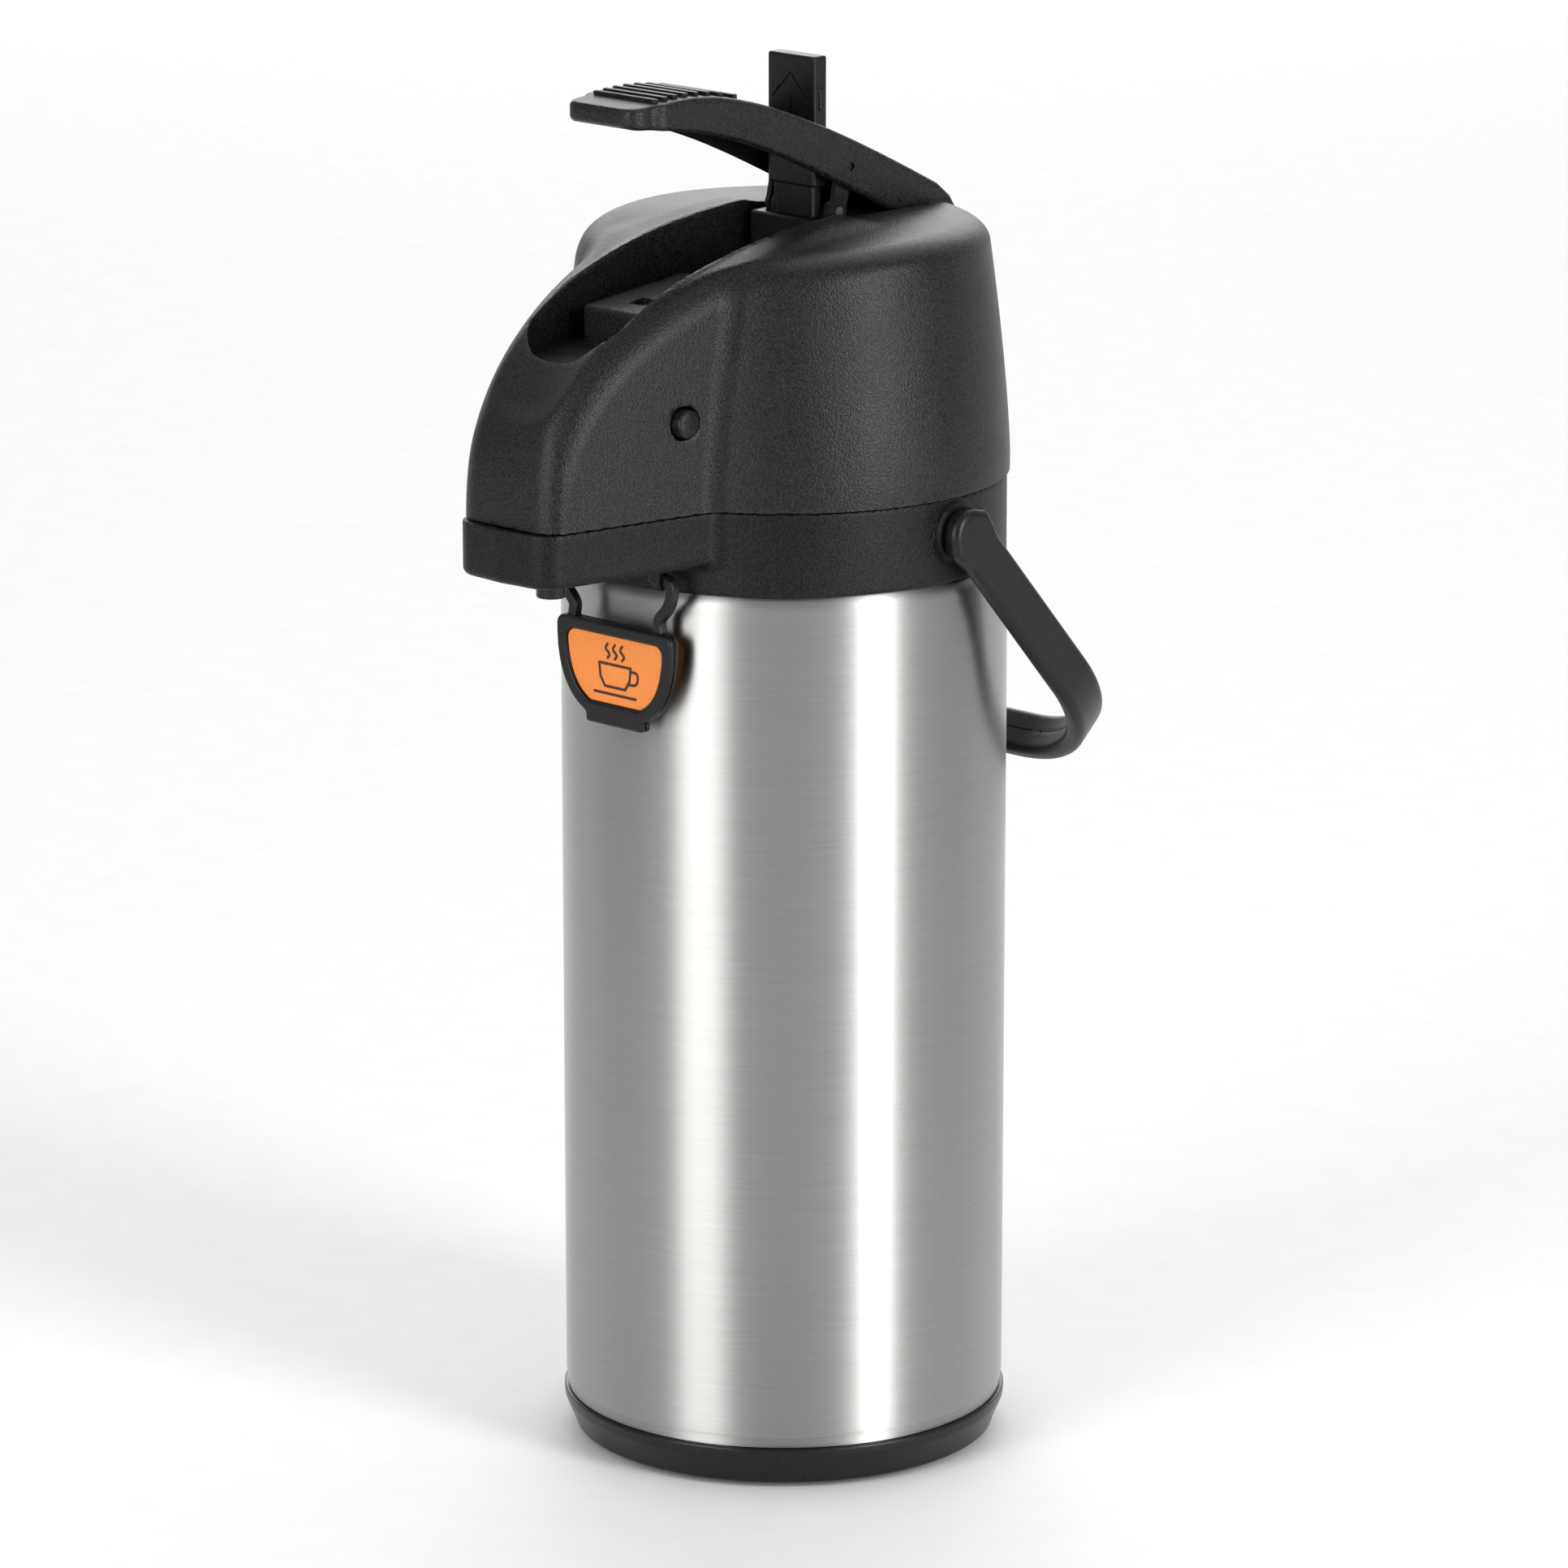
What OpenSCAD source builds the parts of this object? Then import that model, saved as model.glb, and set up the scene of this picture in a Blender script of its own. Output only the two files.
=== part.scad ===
// Lever-action thermal airpot, 3 litres.
// +Z is up, the spout points to -Y, the bail hangs behind the body at +Y.
// The origin is the centre of the anti-slip pad, on the table.

/* [Body] */
// Outer radius of the steel body
body_r = 67; // [66:0.5:68]
// Wall thickness of the steel shell
shell_wall = 0.8; // [0.6:0.1:1]
// Inner radius of the vacuum liner
liner_r = 61.5; // [60:0.5:62]
// Height where the steel shell meets the base cap
shell_z0 = 13.6; // [13:0.1:14]
// Underside of the collar
collar_z0 = 275; // [274.5:0.1:275.2]
// Seam between the collar and the hinged head
seam_z = 300; // [299.9:0.1:300]

/* [Head] */
// Furthest point of the beak in front of the axis
beak_reach = 119.8; // [118:0.2:121]
// Top of the head
head_top = 380.5; // [380:0.1:381]
// Wall thickness of the moulded head
head_wall = 2.5; // [2:0.1:2.8]
// Half width of the lever well
well_half = 19; // [18.8:0.1:19.4]

/* [Lever] */
// Pivot of the lever, behind the axis
lever_pivot_y = 50.5; // [50.3:0.1:50.6]
// Height of the lever pivot
lever_pivot_z = 366.5; // [366.3:0.1:366.8]
// Half width of the lever
lever_half = 16; // [15.8:0.1:16.2]
// Wall thickness of the lever flanges
flange_wall = 2; // [1.8:0.1:2]

/* [Bail] */
// Height of the bail pivot
bail_z = 290; // [289:0.5:291]
// Pivot of the bail behind the axis
bail_y = 2.5; // [2:0.5:3]
// Distance from the pivot to the middle of the grip
bail_len = 108.5; // [108:0.5:110]
// Width of the bail strap
bail_w = 14.5; // [13:0.5:15]
// Thickness of the bail strap
bail_t = 6; // [5.5:0.5:6]
// Hanging angle of the bail, from straight down
bail_hang = 42; // [42:0.5:44]

/* [Tag] */
// Half width of the cup-shaped tag
tag_half = 23.6; // [23:0.2:25]
// Height of the tag frame, without its hooks
tag_h = 31; // [29:0.5:32]
// Thickness of the tag frame
tag_t = 4; // [3.5:0.1:4]

/* [Hidden] */
$fn = 96;

gap = 0.3;                        // between parts that move past each other
black = [0.08, 0.08, 0.085];
satin_black = [0.11, 0.11, 0.12];
steel = [0.76, 0.76, 0.74];
rubber = [0.05, 0.05, 0.05];
silicone = [0.85, 0.85, 0.82];
orange = [0.94, 0.55, 0.26];

// Swivel base
pad_t = 1;
foot_r = 60;
foot_z1 = 4;
spigot_r = 8;
running = 0.1;                    // radial clearance of the swivel spigot
base_bottom_r = 64.6;
base_lip_r = 67.6;

// Vessel
shell_in = body_r - shell_wall;
neck_r = 38;
mouth_z = 284;
liner_wall = 0.6;
liner_bottom = 23;
flange_top = mouth_z + 0.8;
gasket_top = flange_top + 1.3;
stopper_top = 299;
tube_r = 5;
outlet_z = 293.5;
nozzle_y = -97.9;
nozzle_tip = 276.6;

// Collar and beak plan
collar_r = 66.65;
collar_in = 63.7;
tray_z0 = 284;
tray_floor = 2.5;
web_z0 = 283;
corner_x = 11.5;
corner_y = -110.5;
corner_r = 8.5;
beak_root_x = 30.5;
beak_root_y = -56;
hinge_y = 71.6;
hinge_z = 300;
knuckle_r = 4.5;
hinge_pin_r = 2;

// Head
dome_r = 67.5;
head_z0 = seam_z + gap;
floor_z = 346.5;                  // top of the lever well's floor
rear_sill_z = 352;                // sill of the well's opening at the back
button_y = -70.5;
button_z = 327.7;
button_x = 27.2;                  // where the beak's side wall is at the button
button_bore = 5;
screw_ring = 60.6;                  // radius of the ring of head screws
screw_angles = [40, 140, 220, 320];

// Pumping links
lever_pin_y = 12.2;
lever_pin_z = 391.1;
plunger_pin_y = 9.3;
plunger_pin_z = 377.7;
pin_r = 1.5;
plunger_top = 375.6;
plunger_x = 16.5;
plunger_y0 = 2.5;
plunger_y1 = 26.5;
plate_z1 = 343;                   // top of the pressure plate
plate_t = 2;
base_plate_z0 = 301;
base_plate_z1 = 303.5;

// Lock bar
bar_y0 = 2.9;
bar_t = 5.6;
bar_half = 9.5;
bar_z0 = 385;
bar_z1 = 424;
post_half = 8.3;
post_y0 = 4.2;
post_t = 3;
post_z1 = 412;

// Tag
tag_pivot_y = -70.8;
tag_pivot_z = 280.2;
tag_top = 264;
hook_r = 1.5;
lug_x = 17.2;

// ---------------------------------------------------------------- helpers

// One point of a cubic Bezier curve.
function bezier(p, t) =
    pow(1 - t, 3) * p[0] + 3 * t * pow(1 - t, 2) * p[1]
    + 3 * t * t * (1 - t) * p[2] + pow(t, 3) * p[3];

// A cubic Bezier curve as a list of points.
function curve(p, steps) = [for (i = [0:steps]) bezier(p, i / steps)];

// An arc about a centre, from one angle to another.
function arc(c, r, a0, a1, steps) =
    [for (i = [0:steps]) c + r * [cos(a0 + (a1 - a0) * i / steps), sin(a0 + (a1 - a0) * i / steps)]];

// A solid drawn as (Y, Z) in side view and spread along X.
module side_view(half) {
    rotate([90, 0, 90])
        linear_extrude(2 * half, center = true)
            children();
}

// A cylinder along X.
module x_rod(r, x0, x1, y, z) {
    translate([x0, y, z])
        rotate([0, 90, 0])
            cylinder(r = r, h = x1 - x0);
}

// The same shape on both sides of the middle plane.
module both_sides() {
    children();
    mirror([1, 0, 0]) children();
}

// A ring or tube about Z.
module ring(r0, r1, z0, z1) {
    translate([0, 0, z0])
        difference() {
            cylinder(r = r1, h = z1 - z0);
            translate([0, 0, -1]) cylinder(r = r0, h = z1 - z0 + 2);
        }
}

// ---------------------------------------------------------------- swivel base

module anti_slip_pad() {
    color(rubber) cylinder(r = foot_r - 4, h = pad_t);
}

module swivel_foot() {
    recess_r = 12.3;
    web_z = 2.8;
    color(black)
        difference() {
            union() {
                translate([0, 0, pad_t]) cylinder(r = foot_r, h = foot_z1 - pad_t);
                ring(45, 50, foot_z1 - 0.5, foot_z1 + 1);
            }
            cylinder(r = spigot_r + running, h = 12);
            translate([0, 0, pad_t - 1]) cylinder(r = recess_r, h = web_z - pad_t + 1);
        }
}

module base_cap() {
    floor_z0 = foot_z1 + 1 + gap;
    floor_z1 = floor_z0 + 2.5;
    wall = 2.4;
    color(black)
        rotate_extrude()
            polygon(concat(
                [[2.6, 2.5], [spigot_r, 2.5], [spigot_r, floor_z0], [base_bottom_r - wall, floor_z0]],
                [[base_bottom_r - wall - 0.6, 1.5], [base_bottom_r - 0.8, 1.5]],
                arc([base_bottom_r - 0.8, 2.3], 0.8, -90, 0, 4),
                curve([[base_bottom_r, 4], [base_bottom_r + 1.6, 6], [base_lip_r - 0.3, 9],
                       [base_lip_r, shell_z0 - 0.7]], 6),
                [[base_lip_r - 0.3, shell_z0 - 0.1], [shell_in - gap, shell_z0 - 0.1]],
                [[shell_in - gap, 17], [shell_in - wall, 17], [shell_in - wall, floor_z1]],
                [[spigot_r, floor_z1], [spigot_r, 14], [2.6, 14]]
            ));
}

module retaining_screw() {
    color(steel)
        difference() {
            union() {
                translate([0, 0, 1.3]) cylinder(r = 11.5, h = 1.2);
                translate([0, 0, 2.5]) cylinder(r = 2.5, h = 10);
            }
            for (a = [0, 90])
                rotate(a) translate([-3, -0.6, 1]) cube([6, 1.2, 0.9]);
        }
}

// ---------------------------------------------------------------- steel vessel

module shell_bottom() {
    color(steel)
        union() {
            translate([0, 0, 17.2]) cylinder(r = shell_in - 0.1, h = 1);
            translate([0, 0, 18.2]) cylinder(r = 9, h = 1.2);
        }
}

// Outline of the shell's outside, from the base to the neck.
shell_outside = [
    [body_r, shell_z0], [body_r, 269.5], [body_r - 0.2, 271.5], [body_r - 0.7, 273.4],
    [body_r - 1.5, 275.1], [body_r - 4, 277], [46, 280.5], [neck_r + 4.3, 282.2],
    [neck_r + 4.3, mouth_z]
];

module outer_shell() {
    inset = [for (i = [len(shell_outside) - 1:-1:0])
        shell_outside[i] - [shell_wall, (i > 1 && i < 7) ? shell_wall / 2 : 0]];
    color(steel)
        rotate_extrude($fn = 144) polygon(concat(shell_outside, inset));
}

// The liner is drawn in three parts that are welded edge to edge.
liner_out = liner_r + liner_wall;
floor_top = liner_bottom + 0.8;
shoulder_z = 261;

module liner_bottom_cap() {
    color(steel)
        rotate_extrude($fn = 144)
            polygon([
                [0, liner_bottom], [liner_r, liner_bottom], [liner_out, liner_bottom + 0.4],
                [liner_out, floor_top], [0, floor_top]
            ]);
}

module inner_liner() {
    color(steel) ring(liner_r, liner_out, floor_top, shoulder_z);
}

module liner_neck() {
    color(steel)
        rotate_extrude($fn = 144)
            polygon([
                [liner_out, shoulder_z], [liner_out - 3, 267], [neck_r + 3, 274.5],
                [neck_r + 1, 277], [neck_r + 1, mouth_z], [neck_r + 4.3, mouth_z],
                [neck_r + 4.3, flange_top], [neck_r, flange_top], [neck_r, 276.5],
                [neck_r + 2.4, 274], [liner_r - 3, 266.5], [liner_r, shoulder_z]
            ]);
}

module mouth_gasket() {
    color(silicone) ring(neck_r + 0.2, neck_r + 3.8, flange_top, gasket_top);
}

module stopper() {
    disc_top = gasket_top + 2.5;
    color(satin_black)
        difference() {
            union() {
                ring(tube_r + 0.1, neck_r + 3.5, gasket_top, disc_top);
                ring(neck_r - 0.5, neck_r + 3.5, disc_top - 0.5, stopper_top);
                ring(neck_r - 3.5, neck_r - 0.4, gasket_top - 6.5, gasket_top + 0.5);
                ring(tube_r + 0.1, tube_r + 2, gasket_top - 6.5, gasket_top + 0.5);
            }
            for (a = [15:30:345])
                rotate(a) translate([21, 0, gasket_top - 1]) cylinder(r = 0.9, h = 5, $fn = 32);
            translate([0, 0, outlet_z]) rotate([90, 0, 0]) cylinder(r = tube_r + 0.1, h = 60);
        }
}

module siphon_tube() {
    foot_z = 30;
    color(silicone)
        difference() {
            ring(tube_r - 1.2, tube_r, foot_z, gasket_top + 2.5);
            translate([-10, 0, foot_z]) rotate([0, 90, 0]) cylinder(r = 2, h = 20, $fn = 32);
        }
}

module outlet_elbow() {
    z0 = gasket_top + 2.5;
    color(satin_black)
        difference() {
            union() {
                translate([0, 0, z0]) cylinder(r = 8, h = 298.6 - z0);
                translate([0, -7, outlet_z]) rotate([90, 0, 0]) cylinder(r = tube_r, h = 40);
                translate([0, -7, outlet_z]) rotate([90, 0, 0]) cylinder(r = tube_r - 0.8, h = 48);
            }
            translate([0, 0, z0 - 1]) cylinder(r = 3.4, h = outlet_z - z0 + 1);
            translate([0, 0, outlet_z]) rotate([90, 0, 0]) cylinder(r = 3.2, h = 70);
        }
}

module outlet_hose() {
    color(silicone)
        translate([0, -47.1, outlet_z])
            rotate([90, 0, 0])
                difference() {
                    cylinder(r = tube_r + 0.1, h = 42);
                    translate([0, 0, -1]) cylinder(r = tube_r - 0.7, h = 44);
                }
}

module nozzle() {
    color(black)
        difference() {
            union() {
                translate([0, nozzle_y, 286.8]) cylinder(r = 6.4, h = 11.8);
                translate([0, nozzle_y, nozzle_tip]) cylinder(r = 4.5, h = 12);
                translate([0, -82, outlet_z]) rotate([90, 0, 0]) cylinder(r = tube_r - 0.8, h = 12);
            }
            translate([0, nozzle_y, nozzle_tip - 1]) cylinder(r = 3.2, h = outlet_z - nozzle_tip + 1);
            translate([0, nozzle_y, outlet_z]) rotate([-90, 0, 0]) cylinder(r = 3.2, h = 30);
        }
}

// ---------------------------------------------------------------- collar

// Plan of the beak: two straight sides, two round corners and a bowed front.
function beak_plan(inset) =
    let (
        c = [corner_x, corner_y], r = corner_r - inset,
        right = concat(
            [[beak_root_x - inset, beak_root_y]],
            arc(c, r, -12, -84, 8),
            [[5, -beak_reach + 0.2 + inset]]
        ),
        n = len(right)
    )
    concat(right, [[0, -beak_reach + inset]], [for (i = [n - 1:-1:0]) [-right[i][0], right[i][1]]]);

module beak_prism(inset, z0, z1) {
    translate([0, 0, z0]) linear_extrude(z1 - z0) polygon(beak_plan(inset));
}

// Lugs under the beak that the tag hangs from.
module tag_lugs() {
    both_sides()
        difference() {
            translate([lug_x, tag_pivot_y - 3.2, tag_pivot_z - 3.2]) cube([2.4, 6.4, 8]);
            x_rod(hook_r + 0.5, lug_x - 1, lug_x + 4, tag_pivot_y, tag_pivot_z);
        }
}

module collar() {
    keeper_z = 293;
    color(black)
        difference() {
            union() {
                rotate_extrude($fn = 144)
                    polygon([
                        [collar_r - 0.7, collar_z0], [collar_r, collar_z0 + 0.7],
                        [collar_r, seam_z], [collar_in, seam_z], [collar_in, web_z0 + 2.5],
                        [neck_r + 5.2, web_z0 + 2.5], [neck_r + 5.2, web_z0],
                        [collar_in, web_z0], [collar_in, 278.2], [collar_r - 0.8, 275.7]
                    ]);
                difference() {
                    beak_prism(0, tray_z0, seam_z);
                    beak_prism(head_wall, tray_z0 + tray_floor, seam_z + 1);
                    cylinder(r = collar_in + 0.5, h = 400);
                }
                both_sides() {
                    x_rod(9.2, 60, body_r + gap, bail_y, bail_z);
                    translate([22.7, button_y - 4, keeper_z]) cube([3.2, 8, 2]);
                    translate([0, 64.5, hinge_z - 8]) translate([8, 0, 0]) cube([10, 6.5, 8]);
                    x_rod(knuckle_r, 8, 18, hinge_y, hinge_z);
                }
                tag_lugs();
            }
            cylinder(r = neck_r + 5.2, h = 400);
            both_sides() x_rod(3.52, 59, 80, bail_y, bail_z);
            x_rod(hinge_pin_r, -20, 20, hinge_y, hinge_z);
            translate([-tube_r - 0.6, -70, outlet_z - tube_r - 0.6]) cube([2 * tube_r + 1.2, 12, 20]);
            translate([0, nozzle_y, 270]) cylinder(r = 4.6, h = 20);
        }
}

module bail_pins() {
    color(steel)
        both_sides() x_rod(3.5, 60.5, 72.5, bail_y, bail_z);
}

module bail_washers() {
    color(satin_black)
        both_sides()
            difference() {
                union() {
                    x_rod(8.9, body_r + gap, body_r + 1, bail_y, bail_z);
                    x_rod(8.3, body_r + 1, body_r + 1.7, bail_y, bail_z);
                }
                x_rod(3.55, 60, 80, bail_y, bail_z);
            }
}

module lid_hinge_pin() {
    color(steel) x_rod(hinge_pin_r, -18.5, 18.5, hinge_y, hinge_z);
}

// ---------------------------------------------------------------- head

// Side view of the head: vertical at the nose, level at the top.
function nose_curve() =
    curve([[-beak_reach, seam_z], [-beak_reach, seam_z + 47], [-76, head_top], [20, head_top]], 20);

// Outline of the dome from the seam to the middle of its top.
function dome_outline() = concat(
    [[dome_r, seam_z], [dome_r - 0.3, 317], [dome_r - 2.2, 337.5], [dome_r - 4.4, 358], [61.6, 366]],
    curve([[61.6, 366], [60.6, 373.5], [57.5, 378.6], [46, 379.7]], 6),
    [[24, head_top], [0, head_top]]
);

module dome(inset) {
    rotate_extrude($fn = 144)
        translate([-inset, 0])
            intersection() {
                polygon(concat(dome_outline(), [[0, seam_z - 20], [dome_r, seam_z - 20]]));
                translate([inset, 0]) square([100, 500]);
            }
}

// The head's outside, drawn in by an inset to make its inside.
module head_solid(inset) {
    intersection() {
        union() {
            translate([0, 0, -inset]) dome(inset);
            beak_prism(inset, seam_z - 5, head_top + 5);
        }
        side_view(90)
            translate([inset * 0.8, -inset])
                polygon(concat(nose_curve(), [[90, head_top], [90, seam_z - 20], [-beak_reach, seam_z - 20]]));
        translate([-90, -150, head_z0 - (inset > 0 ? 10 : 0)]) cube([180, 240, 100]);
    }
}

// Plan of the lever well: parallel sides that close to a round front end.
function well_plan(grow) =
    let (h = well_half + grow, y1 = 60.2 + grow, r = 12 + grow)
    concat(
        [[h, -38], [h, y1 - 1.5]], arc([h - 1.5, y1 - 1.5], 1.5, 0, 90, 3),
        arc([1.5 - h, y1 - 1.5], 1.5, 90, 180, 3), [[-h, -38]],
        arc([-5.4, -84.5], r, -176, -90, 8), arc([5.4, -84.5], r, -90, -4, 8)
    );

// The well seen from the side: its floor drops a little at the front.
module well_side(drop) {
    side_view(40)
        polygon([[-110, 341 - drop], [-86, 345.2 - drop], [-72, floor_z - drop], [90, floor_z - drop],
                 [90, 420], [-110, 420]]);
}

module well(grow, drop) {
    intersection() {
        linear_extrude(500) polygon(well_plan(grow));
        well_side(drop);
    }
    // open at the back, behind the lever's hub
    translate([-well_half - grow, 50, rear_sill_z - drop]) cube([2 * (well_half + grow), 30, 60]);
}

// Dished landing for the thumb pad, in front of the well.
module scoop(grow) {
    translate([0, -118, 350.1]) sphere(r = 21.9 + grow, $fn = 144);
}

module head_cover() {
    color(black)
        difference() {
            union() {
                difference() {
                    head_solid(0);
                    difference() {
                        head_solid(head_wall);
                        well(2, 2);
                        scoop(2);
                    }
                    well(0, 0);
                    scoop(0);
                }
                // raised platform in the well, over the outlet
                side_view(12)
                    polygon([[-72, floor_z - 1], [-72, 357.6], [-31, 361.6], [-30, floor_z - 1]]);
                // screw bosses
                for (a = screw_angles)
                    rotate(a) translate([screw_ring, 0, base_plate_z1]) cylinder(r = 4.7, h = 14, $fn = 32);
                // hinge knuckle
                translate([-7.7, 64.6, head_z0]) cube([15.4, 7, 4]);
                x_rod(knuckle_r, -7.7, 7.7, hinge_y, hinge_z);
                // bosses for the lever pin
                both_sides() x_rod(6, well_half + 1, well_half + 4, lever_pivot_y, lever_pivot_z);
            }
            for (a = screw_angles)
                rotate(a) translate([screw_ring, 0, base_plate_z1 - 1]) cylinder(r = 1.45, h = 13);
            x_rod(hinge_pin_r + 0.05, -20, 20, hinge_y, hinge_z);
            x_rod(2.52, -22, 22, lever_pivot_y, lever_pivot_z);
            both_sides() x_rod(button_bore, 20, 40, button_y, button_z);
            // way for the plunger
            translate([-plunger_x - 0.5, plunger_y0 - 0.5, floor_z - 10])
                cube([2 * plunger_x + 1, plunger_y1 - plunger_y0 + 1, 12]);
            // clear of the collar around the hinge knuckle
            both_sides() translate([7.7, 66.9, 290]) cube([12, 10, 20]);
        }
}

module head_base() {
    post_x = 12;
    color(satin_black)
        difference() {
            union() {
                translate([0, 0, base_plate_z0]) cylinder(r = 64.2, h = base_plate_z1 - base_plate_z0);
                translate([-15.6, -102, base_plate_z0]) cube([31.2, 50, base_plate_z1 - base_plate_z0]);
                translate([-post_x, button_y - 5, base_plate_z1 - 0.5])
                    cube([2 * post_x, 10, button_z + 6 - base_plate_z1]);
                ring(36.2, 38, base_plate_z1 - 0.5, base_plate_z1 + 3);
            }
            translate([0, 0, 290]) cylinder(r = 18, h = 30);
            for (a = screw_angles)
                rotate(a) translate([screw_ring, 0, 290]) cylinder(r = 1.6, h = 30);
            x_rod(2.1, -20, 20, button_y, button_z);
        }
}

module head_screws() {
    color(steel)
        for (a = screw_angles)
            rotate(a)
                translate([screw_ring, 0, 0]) {
                    translate([0, 0, base_plate_z0 - 1.6]) cylinder(r = 2.7, h = 1.6);
                    translate([0, 0, base_plate_z0]) cylinder(r = 1.4, h = 12);
                }
}

module lid_gasket() {
    color(silicone) ring(neck_r - 0.5, neck_r + 3.5, stopper_top + gap, base_plate_z0);
}

// Corrugated air bellows between the base plate and the pressure plate.
module bellows() {
    folds = 6;
    z0 = base_plate_z1;
    pitch = (plate_z1 - plate_t - z0) / folds;
    out = [for (i = [0:folds - 1]) for (k = [0, 1])
        [k == 0 ? 31 : 35.5, z0 + pitch * (i + k / 2)]];
    ends = concat(out, [[31, z0 + pitch * folds]]);
    n = len(ends);
    color(rubber)
        rotate_extrude()
            polygon(concat(ends, [for (i = [n - 1:-1:0]) ends[i] - [1.1, 0]]));
}

// A coil spring about Z, as one swept tube.
module coil(r, wire, z0, z1, turns) {
    sides = 6;
    steps = turns * 18;
    height = z1 - z0 - 2 * wire;
    pts = [for (i = [0:steps]) for (s = [0:sides - 1])
        let (a = 360 * turns * i / steps, b = 360 * s / sides, q = r + wire * cos(b))
            [q * cos(a), q * sin(a), z0 + wire + height * i / steps + wire * sin(b)]];
    walls = [for (i = [0:steps - 1]) for (s = [0:sides - 1])
        let (t = (s + 1) % sides, a = i * sides)
            [a + s, a + s + sides, a + t + sides, a + t]];
    first = [for (s = [0:sides - 1]) s];
    last = [for (s = [sides - 1:-1:0]) steps * sides + s];
    polyhedron(points = pts, faces = concat(walls, [first, last]), convexity = 8);
}

module return_spring() {
    color(steel) coil(23, 1.1, base_plate_z1 + 0.1, plate_z1 - plate_t - 0.1, 5);
}

module lever_pivot_pin() {
    color(steel) x_rod(2.5, -well_half - 2.8, well_half + 2.8, lever_pivot_y, lever_pivot_z);
}

module button_spring_right() {
    color(steel)
        translate([12.1, button_y, button_z]) rotate([0, 90, 0]) coil(3.2, 0.4, 0, 6.6, 4);
}

module button_spring_left() {
    mirror([1, 0, 0]) button_spring_right();
}

// ---------------------------------------------------------------- lever

lever_crown = [[-77, 418.1], [-52, 419.3], [-40, 427], [lever_pivot_y, 381.5]];
lever_belly = [[-75, 411.9], [-35, 409], [-13, 396], [40, 371]];

function reversed(list) = [for (i = [len(list) - 1:-1:0]) list[i]];

// Plan of the lever: wide flanges, then a narrower pad with round corners.
function lever_plan() =
    let (pad = 14.3, r = 5.5, tip = -78)
    concat(
        [[lever_half, 70], [-lever_half, 70], [-lever_half, -57], [-pad, -61]],
        arc([r - pad, r + tip], r, 180, 270, 6), arc([pad - r, r + tip], r, 270, 360, 6),
        [[pad, -61], [lever_half, -57]]
    );

module lever() {
    hub_r = 8.8;
    color(black)
        difference() {
            union() {
                intersection() {
                    side_view(lever_half)
                        polygon(concat(
                            [[-78, 413], [-78, 416.5]], curve(lever_crown, 18),
                            [[56, 377.2], [58.8, 373], [59.2, 368], [lever_pivot_y, lever_pivot_z], [42.5, 363.5]],
                            reversed(curve(lever_belly, 18))
                        ));
                    linear_extrude(500) polygon(lever_plan());
                }
                x_rod(hub_r, -well_half + 0.4, well_half - 0.4, lever_pivot_y, lever_pivot_z);
                // grip ribs on the thumb pad
                for (i = [0:7])
                    let (p = bezier(lever_crown, 0.14 + 0.056 * i))
                        translate([-12.6, p[0], p[1] - 1]) cube([25.2, 1.6, 1.9]);
            }
            // hollow underside, open downwards
            side_view(lever_half - flange_wall)
                polygon(concat(
                    [for (p = curve(lever_crown, 18)) if (p[0] > -58 && p[0] < 40) p - [0.6, 2.4]],
                    [[40, 360], [-58, 390]]
                ));
            // room for the upper eyes of the link straps
            both_sides() x_rod(4.9, 11.8, lever_half - flange_wall, lever_pin_y, lever_pin_z);
            // slot for the lock bar
            translate([-10.6, 1.8, 385]) cube([21.2, 18, 25]);
            x_rod(2.55, -30, 30, lever_pivot_y, lever_pivot_z);
        }
}

module lever_link_pins() {
    color(steel)
        both_sides() x_rod(pin_r, 12, lever_half - flange_wall, lever_pin_y, lever_pin_z);
}

// ---------------------------------------------------------------- plunger

module plunger() {
    wall = 2;
    roof = 3.6;
    ear = 1.9;
    color(satin_black)
        difference() {
            union() {
                translate([-plunger_x, plunger_y0, plate_z1])
                    cube([2 * plunger_x, plunger_y1 - plunger_y0, plunger_top - plate_z1]);
                both_sides()
                    translate([9.9, plunger_pin_y - 3, plunger_top - 1]) cube([ear, 6, 6]);
            }
            translate([-plunger_x + wall, plunger_y0 + wall, plate_z1 - 1])
                cube([2 * (plunger_x - wall), plunger_y1 - plunger_y0 - 2 * wall,
                      plunger_top - plate_z1 - roof + 1]);
            // pockets for the lower eyes of the link straps
            both_sides() translate([11.8, plunger_pin_y - 3.8, plunger_top - 1.6]) cube([2.1, 7.6, 3]);
            both_sides() x_rod(pin_r, 8, 14, plunger_pin_y, plunger_pin_z);
        }
}

module pressure_plate() {
    color(satin_black)
        difference() {
            translate([0, 0, plate_z1 - plate_t]) cylinder(r = 34.5, h = plate_t);
            translate([0, 14, plate_z1 - 5]) cylinder(r = 2.2, h = 10);
        }
}

module intake_valve() {
    color(rubber)
        translate([0, 14, 0]) {
            translate([0, 0, plate_z1 - plate_t - 1]) cylinder(r = 6, h = 1);
            translate([0, 0, plate_z1 - plate_t]) cylinder(r = 2.1, h = plate_t + 1);
        }
}

module link_pins() {
    color(steel)
        both_sides() x_rod(pin_r, 9.9, 13.8, plunger_pin_y, plunger_pin_z);
}

module lock_post() {
    color(satin_black)
        translate([-post_half, post_y0, plunger_top])
            cube([2 * post_half, post_t, post_z1 - plunger_top]);
}

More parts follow.
